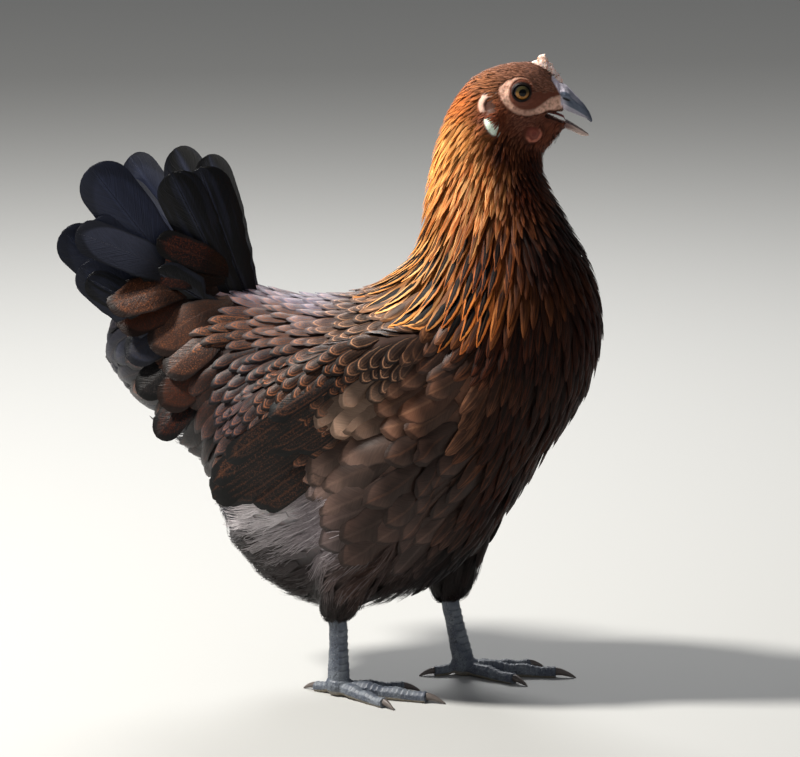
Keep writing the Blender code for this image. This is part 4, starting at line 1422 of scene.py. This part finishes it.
def wing_row(side, count, root, tip, root_across, tip_across, width, height):
    """Spines, facings and widths of one row of wing feathers."""
    along_wing = WING_TIP - SHOULDER
    upwards = np.array((along_wing[1], -along_wing[0])) / np.linalg.norm(along_wing)
    upwards *= np.sign(upwards[1])
    order = np.linspace(0, 1, count)
    t = row_shares(WING_ROWS)[:, None]
    # The middle feathers reach furthest, so the closed fan ends in a blunt point.
    furthest = np.sin(np.clip(order * 1.15, 0, 1) * math.pi) ** 0.6
    start = root[0] + (root[1] - root[0]) * order
    end = tip[0] + (tip[1] - tip[0]) * furthest + chance.uniform(-0.01, 0.01, count)
    share = start + (end - start) * t
    across = np.interp(order, (0, 1), root_across) * (1 - t) + np.interp(order, (0, 1), tip_across) * t
    flat = SHOULDER + along_wing * share[..., None] + upwards * (across * MM)[..., None]
    outside = side * max(abs(wing_low.y), abs(wing_high.y))
    places = np.stack((flat[..., 0], np.full(share.shape, outside), flat[..., 1]), -1)
    found, normals = surface.nearest(places.reshape(-1, 3))
    found, normals = found.reshape(places.shape), normals.reshape(places.shape)
    rise = height[0] + (height[1] - height[0]) * t ** 0.7 - order * 1.4 * t
    rise -= WING_ROOT_SINK * order * np.clip(1 - t / 0.3, 0, 1)
    spines = found + normals * (rise * MM)[..., None]
    for _ in range(3):
        spines[1:-1] = (spines[:-2] + spines[1:-1] * 2 + spines[2:]) / 4
    length = np.linalg.norm(spines[-1] - spines[0], axis=1)
    widths = np.minimum(1, 0.55 + 1.2 * t) * np.full((1, count), width / 2 * MM)
    return spines, normals, round_tip(length * (1 - t), widths)


for kind, plan in WING_ROWS_OF.items():
    for side, word in SIDE_NAMES.items():
        spines, normals, widths = wing_row(side, *plan)
        marks = (0.25 if kind == "coverts" else 0.15, 0.0, 0.5)
        marks = large_marks(plan[0], TONES["soot"] * 0.7, TONES["rust"] * 0.5, marks, 0.3)
        name = f"wing_{kind}_{word}"
        mesh = large_feathers(name, spines, normals, widths, marks, 6, 0.16, -side * WING_ROLL)
        add_piece(name, mesh, finishes["flight"])

# %% [markdown]
# A hen's eye is a ball of which the lids leave a round window. The pupil is large and black, the
# iris olive with a dark rim, painted darker at the top as painted shade and warmer and lighter in its
# lower half as painted light, and the clear front bulges a little. The rings are painted by their
# distance from the middle of the pupil, and a glossy coat makes it wet.

# %% Eyes
PUPIL, IRIS = 2.4, 4.7
GAZE_FORWARD, GAZE_DOWN = 0.10, 0.03
CORNEA_BULGE, CORNEA_REACH = 0.45 * MM, 3.6
BALL_SHARE = 0.985
# The back of the ball counts as far from the pupil, in mm.
BEHIND = 9


def make_eye(side):
    word = SIDE_NAMES[side]
    gaze = across_head * side + ahead * GAZE_FORWARD - np.array((0, 0, GAZE_DOWN))
    gaze /= np.linalg.norm(gaze)
    bm = bmesh.new()
    bmesh.ops.create_uvsphere(bm, u_segments=48, v_segments=40, radius=eye_radius * BALL_SHARE)
    facing = Vector(gaze).to_track_quat("Z", "Y").to_matrix()
    bmesh.ops.rotate(bm, matrix=facing, verts=bm.verts)
    mesh = mesh_from(bm, f"eyeball_{word}")
    points = points_of(mesh)
    height = points @ gaze
    off_axis = np.linalg.norm(points - height[:, None] * gaze, axis=1) / MM
    off_axis[height < 0] = BEHIND
    bulge = np.exp(-(off_axis / CORNEA_REACH) ** 2) * CORNEA_BULGE
    paint(mesh, off_axis=off_axis, lift=points[:, 2] / MM)
    move_points(mesh, points + gaze * bulge[:, None] + eye_middle[side])
    return add_piece(f"eyeball_{word}", mesh, eye_material, [f"eye_{word}"])


def eye_finish():
    bench = Bench("eye", Roughness=0.1, Specular_IOR_Level=0.1, Coat_Weight=0.25, Coat_Roughness=0.02)
    off_axis = bench.attribute("off_axis")
    lift = bench.attribute("lift")
    fleck = bench.noise(bench.place(), 1500, 3.0)
    # The iris is painted dark at the top as painted shade and warm below as painted light.
    iris = bench.mix(lift.between(1.5, -3.0), paint_tone(58, 52, 34), paint_tone(146, 100, 48))
    iris = bench.scaled(iris, 0.65 + fleck * 0.7)
    colour = bench.mix(off_axis.between(IRIS - 0.9, IRIS + 0.1), iris, paint_tone(16, 18, 24))
    colour = bench.mix(off_axis.between(PUPIL + 0.2, PUPIL - 0.15), colour, paint_tone(4, 4, 6))
    return bench.finished(colour)


eye_material = eye_finish()
for side in SIDE_NAMES:
    make_eye(side)

# %% [markdown]
# The lids are a ring of thin skin drawn over the eyeball. Their dark edge frames the iris, and
# outwards they run down in fine folds until they meet the face. A circle is extruded ring by
# ring, and every ring is then set down on whichever is higher, the ball or the face.

# %% Eyelids
LID_OPENING, LID_END = 5.1, 10.4
LID_RINGS = 16
LID_SHELL = 7.3
LID_FOLD_WIDTH, LID_FOLD = 1.05, 0.16
# A larger number lets the lid change more suddenly from the ball to the face.
BLEND = 1.6
LID_EDGE_TONE = tone(22, 15, 14)


def face_height(origin, outwards, places):
    """How far out the face lies at some places beside the eye, in mm from the eye's middle."""
    heights = []
    for place in places:
        start = Vector(place + outwards * 20 * MM)
        hit = surface.tree.ray_cast(start, Vector(-outwards), 40 * MM)[0]
        heights.append(-9.0 if hit is None else (np.array(hit) - origin) @ outwards / MM)
    return np.array(heights)


def make_lids(side):
    word = SIDE_NAMES[side]
    bm = bmesh.new()
    bmesh.ops.create_circle(bm, segments=80, radius=1.0)
    edges = bm.edges[:]
    reaches = np.concatenate(([LID_OPENING], np.linspace(LID_OPENING, LID_END, LID_RINGS)))
    for reach in reaches[1:]:
        made = bmesh.ops.extrude_edge_only(bm, edges=edges)["geom"]
        ring = [item for item in made if isinstance(item, bmesh.types.BMVert)]
        edges = [item for item in made if isinstance(item, bmesh.types.BMEdge)
                 and all(vertex in ring for vertex in item.verts)]
        for vertex in ring:
            vertex.co.z += 1
    mesh = mesh_from(bm, f"eyelids_{word}")
    flat = points_of(mesh)
    number = np.rint(flat[:, 2]).astype(int)
    angle = np.arctan2(flat[:, 1], flat[:, 0])
    reach = reaches[number] * (1 + 0.05 * np.cos(2 * angle) * (reaches[number] < 8))
    forward, up = reach * np.cos(angle), reach * np.sin(angle)
    outwards = across_head * side
    places = eye_middle[side] + (ahead * forward[:, None] + np.array((0, 0, 1.0)) * up[:, None]) * MM
    face = face_height(eye_middle[side], outwards, places)
    ball = np.sqrt(np.maximum(LID_SHELL ** 2 - reach ** 2, 0)) - 14 * ease(reach, 6.6, 9.5)
    height = np.logaddexp(ball * BLEND, face * BLEND) / BLEND
    window = ease(reach, 5.6, 6.4) * (1 - ease(reach, 9.0, LID_END))
    height += LID_FOLD * np.cos(reach * 2 * math.pi / LID_FOLD_WIDTH) * window
    height += 0.35 * (1 - ease(reach, 5.1, 6.0)) - 0.9 * (number == 0)
    height -= (height - face + 0.35) * ease(reach, 9.4, LID_END)
    move_points(mesh, places + outwards * (height * MM)[:, None])
    if (normals_of(mesh) @ outwards).sum() < 0:
        mesh.flip_normals()
    colours = toned(skin_colours(points_of(mesh))[0], LID_EDGE_TONE, 1 - ease(reach, 5.9, 7.4))
    paint(mesh, main=colours, bareness=np.ones(len(reach)))
    return add_piece(f"eyelids_{word}", mesh, skin_material)


for side in SIDE_NAMES:
    make_lids(side)

# %% [markdown]
# A few black bristles stand over the base of the bill and hang below the chin.

# %% Bristles
BRISTLES = 46
BRISTLE_ROWS = 4


def make_bristles():
    """Fine tapering hairs on the forehead and the chin."""
    forward = np.concatenate((chance.uniform(12, 21, BRISTLES), chance.uniform(10, 24, BRISTLES)))
    up = np.concatenate((15 - 0.75 * (forward[:BRISTLES] - 9), -26 - 0.5 * (24 - forward[BRISTLES:])))
    out = chance.normal(0, 3.0, 2 * BRISTLES)
    local = np.stack((forward, out, up), 1) * MM + np.array((eye_place[0], 0, eye_place[2]))
    roots, normals = surface.nearest(turned(local, 1))
    heading = normals + ahead * chance.uniform(0.2, 0.8, (2 * BRISTLES, 1))
    heading[BRISTLES:] += ahead * -0.9 + np.array((0, 0, -0.5))
    length = chance.uniform(2.5, 5.5, (2 * BRISTLES, 1)) * MM
    t = row_shares(BRISTLE_ROWS)[:, None, None]
    spines = roots + unit(heading) * length * t - ahead * length * 0.3 * t ** 2
    facing = np.broadcast_to(across_head, spines.shape)
    taper = (0.16 * (1 - 0.7 * t[:, :, 0]) * MM) * np.ones((1, 2 * BRISTLES))
    marks = large_marks(2 * BRISTLES, TONES["soot"], TONES["brown"], (0.0, 0.0, 0.0), 0.0, 0.5)
    mesh = large_feathers("face_bristles", spines, facing, taper, marks, 2, 0.9)
    add_piece("face_bristles", mesh, finishes["head"])


make_bristles()

# %% [markdown]
# The bill is horn grown in thin layers. The upper half hooks over the lower one, and a soft pale
# swelling at its base roofs the slit of the nostril. Fine remeshing rounds the plain solid, and
# the nostril is pressed in along the surface.

# %% Bill and tongue
NOSTRIL, NOSTRIL_HALF = (28.6, -6.2), (3.3, 0.9)
FLAP, FLAP_HALF = (27.6, -3.6), (3.8, 2.1)
NOSTRIL_LEAN = -24
TONGUE_TIP = 27.0
KEEL = 1.1


def dome(forward, up, out, middle, half):
    """A soft dome over an oval on both sides of the bill, 1 at its middle."""
    along, across = in_oval(forward, up, middle, half, NOSTRIL_LEAN)
    return np.exp(-(along ** 2 + across ** 2)) * ease(np.abs(out), 1.0, 2.5)


def make_bill(name, node, finish):
    """One half of the bill, with what the finish needs to know about its places."""
    mesh = soft_form(name, [node], 0.34 * MM, 5, 0.15 * MM)
    points, normals = points_of(mesh), normals_of(mesh)
    places = forward, up, out = head_places(points)
    has_nostril = node == "bill_upper"
    hollow = dome(*places, NOSTRIL, NOSTRIL_HALF) * has_nostril
    flap = dome(*places, FLAP, FLAP_HALF) * has_nostril
    shift = flap * 0.9 - hollow * 1.1 + 0.05 * np.sin(forward * 2.4 + up * 0.6)
    if node == "bill_lower":
        shift += KEEL * ease(-normals[:, 2], 0.1, 0.8) * (1 - ease(forward, 38, 44))
    move_points(mesh, points + normals * (shift * MM)[:, None])
    paint(mesh, hollow=hollow, flap=flap, reach=forward, lift=up, crest=normals[:, 2])
    return add_piece(name, mesh, finish, [node])


def bill_bench(name):
    """A bench for horn, the wires both halves of the bill need, and how it is finished."""
    bench = Bench(name, Coat_Roughness=0.25)
    reach, lift, crest = (bench.attribute(word) for word in ("reach", "lift", "crest"))
    streak = bench.noise(bench.vector(reach * 0.25, lift * 1.6), 1.0, 3.0)
    fine = bench.noise(bench.place(), 900, 2.0)

    def finished(colour):
        mottled = bench.scaled(colour, streak * 0.5 + fine * 0.12 + 0.72)
        return bench.finished(mottled, 0.34 + streak * 0.2, streak + fine * 0.4, 0.35, 0.15 * MM)

    return bench, reach, crest, finished


def upper_bill_finish():
    bench, reach, crest, finished = bill_bench("upper_bill")
    hollow, flap = bench.attribute("hollow"), bench.attribute("flap")
    slate, pale = paint_tone(84, 92, 108), paint_tone(216, 208, 220)
    base = reach.between(31.0, 24.0)
    # The top of the ridge, where it faces up, is painted pale as a painted highlight.
    ridge_highlight = crest.between(0.30, 0.75) * reach.between(43.0, 33.0)
    rim = crest.between(-0.25, -0.7) * 0.5
    colour = bench.mix((base + ridge_highlight * 0.85 + rim).least(1.0), slate, pale)
    colour = bench.mix(reach.between(38.0, 44.0) * 0.6, colour, paint_tone(66, 70, 82))
    colour = bench.mix(flap.between(0.25, 0.6), colour, paint_tone(96, 104, 120))
    # The nostril hollow is painted almost black as painted shade in the slit.
    return finished(bench.mix(hollow.between(0.30, 0.7), colour, paint_tone(20, 18, 22)))


def lower_bill_finish():
    bench, reach, crest, finished = bill_bench("lower_bill")
    colour = bench.mix(reach.between(28.0, 38.0), paint_tone(120, 92, 86), paint_tone(206, 180, 168))
    # Its upward faces, inside the mouth and under the upper half, are painted dark as painted shade.
    return finished(bench.mix(crest.between(0.4, 0.8) * 0.8, colour, paint_tone(44, 30, 32)))


make_bill("upper_bill", "bill_upper", upper_bill_finish())
make_bill("lower_bill", "bill_lower", lower_bill_finish())


def plain_finish(name, colour, roughness, scale, depth):
    """A mottled finish with a little relief, for tongue and claws."""
    bench = Bench(name)
    blotch = bench.noise(bench.place(), scale, 3.0)
    mottled = bench.scaled(colour[:3], 0.75 + blotch * 0.5)
    return bench.finished(mottled, roughness + blotch * 0.15, blotch, 0.4, depth)


tongue = soft_form("tongue_flesh", ["tongue"], 0.3 * MM, 3, 0.1 * MM)
tongue_points = points_of(tongue)
past_gape = np.maximum(head_places(tongue_points)[0] - TONGUE_TIP, 0)
move_points(tongue, tongue_points - ahead * (past_gape * 0.8 * MM)[:, None])
tongue_material = plain_finish("tongue", paint_tone(120, 62, 58), 0.35, 900, 0.2 * MM)
add_piece("tongue_flesh", tongue, tongue_material, ["tongue"])

# %% [markdown]
# Shank and toes are bare and scaly. Broad plates overlap down the front of the shank and along
# the top of each toe, small round scales cover the rest, and the soles are padded. The plates
# are real steps in the surface: each is highest at its lower edge and dips under the next.

# %% Legs and feet
SHANK_PLATE = 4.4
TOE_PLATE = 3.4
SCALE_SIZE = 1.35
PLATE_RISE = 0.86
TOE_WORDS = ("inner", "middle", "outer")
SHANK_RISE = np.array((-1.5, 0, 8)) * MM


def leg_nodes(word):
    return [f"shank_{word}", f"foot_{word}"] + [f"toe_{toe}_{word}" for toe in TOE_WORDS]


def plate_steps(distance, size):
    """A row of overlapping plates: a slow rise and a sudden drop, from 0 to 1."""
    part = distance / size % 1.0
    return np.where(part < PLATE_RISE, part / PLATE_RISE, (1 - part) / (1 - PLATE_RISE))


def make_leg(side):
    word = SIDE_NAMES[side]
    mesh = soft_form(f"leg_skin_{word}", leg_nodes(word), 0.55 * MM, 3, 0.3 * MM)
    points, normals = points_of(mesh), normals_of(mesh)
    shank_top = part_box(f"shank_{word}")[1].z
    flat = points[:, :2] - shank_foot(word)
    on_toe = ease(-points[:, 2], -17 * MM, -11 * MM)
    radial = np.hypot(*flat.T) / MM
    front = ease(normals[:, 0], 0.05, 0.45) * (1 - on_toe)
    top = ease(normals[:, 2], 0.15, 0.6) * on_toe * ease(radial, 5, 9)
    sole = ease(-normals[:, 2], 0.3, 0.8) * on_toe
    shank_row = plate_steps(points[:, 2] / MM + np.abs(normals[:, 1]) * 1.2, SHANK_PLATE)
    toe_row = plate_steps(-radial, TOE_PLATE)
    small = small_scales(points, SCALE_SIZE)
    rest = np.clip(1 - front - top, 0, 1)
    relief = front * (shank_row - 0.5) * 0.55 + top * (toe_row - 0.5) * 0.5
    relief = relief + rest * (small - 0.5) * 0.38
    plates = front * shank_row + top * toe_row + rest * small
    keep = ease(points[:, 2], 0.1 * MM, 1.2 * MM)
    points = points + normals * (relief * keep * MM)[:, None]
    # The cut top is drawn up into the feathers of the thigh.
    points += SHANK_RISE * ease(points[:, 2], shank_top - 2.5 * MM, shank_top - 0.5 * MM)[:, None]
    points[:, 2] = np.maximum(points[:, 2], 0)
    move_points(mesh, points)
    paint(mesh, plates=plates, sole=sole)
    return add_piece(f"leg_skin_{word}", mesh, leg_material, leg_nodes(word))


def shank_foot(word):
    """Where the shank meets the toes, seen from above: the middle of its lowest points."""
    points = solid_points(f"shank_{word}")
    return points[points[:, 2] < points[:, 2].min() + 6 * MM].mean(0)[:2]


def small_scales(points, size):
    """Domed irregular scales: 0 in the grooves between them, 1 on top."""
    made = np.empty(len(points))
    for i, point in enumerate(points):
        gaps = noise.voronoi(Vector(point / (size * MM)))[0]
        made[i] = gaps[1] - gaps[0]
    return ease(made, 0.0, 0.35)


def leg_finish():
    bench = Bench("leg_scales")
    plates, sole = bench.attribute("plates"), bench.attribute("sole")
    place = bench.place()
    blotch = bench.noise(place, 130, 3.0)
    fine = bench.noise(place, 1800, 2.0)
    colour = bench.mix(blotch.between(0.35, 0.65), paint_tone(74, 80, 92), paint_tone(104, 110, 118))
    colour = bench.mix(plates.between(0.25, 0.0) * 0.7, colour, paint_tone(44, 42, 46))
    colour = bench.mix(plates.between(0.8, 1.0) * 0.35, colour, paint_tone(140, 144, 148))
    colour = bench.mix(sole * 0.8, colour, paint_tone(150, 138, 118))
    colour = bench.scaled(colour, 0.8 + fine * 0.4)
    return bench.finished(colour, 0.5 + blotch * 0.2 - plates * 0.12, fine + blotch, 0.4, 0.15 * MM)


leg_material = leg_finish()
claw_material = plain_finish("claws", paint_tone(96, 88, 84), 0.3, 700, 0.12 * MM)
for side, word in SIDE_NAMES.items():
    make_leg(side)
    claws = [f"claw_{toe}_{word}" for toe in TOE_WORDS + ("hind",)]
    claw_form = soft_form(f"claws_{word}", claws, 0.3 * MM, 3, 0.12 * MM)
    add_piece(f"claws_{word}", claw_form, claw_material, claws)

# %% [markdown]
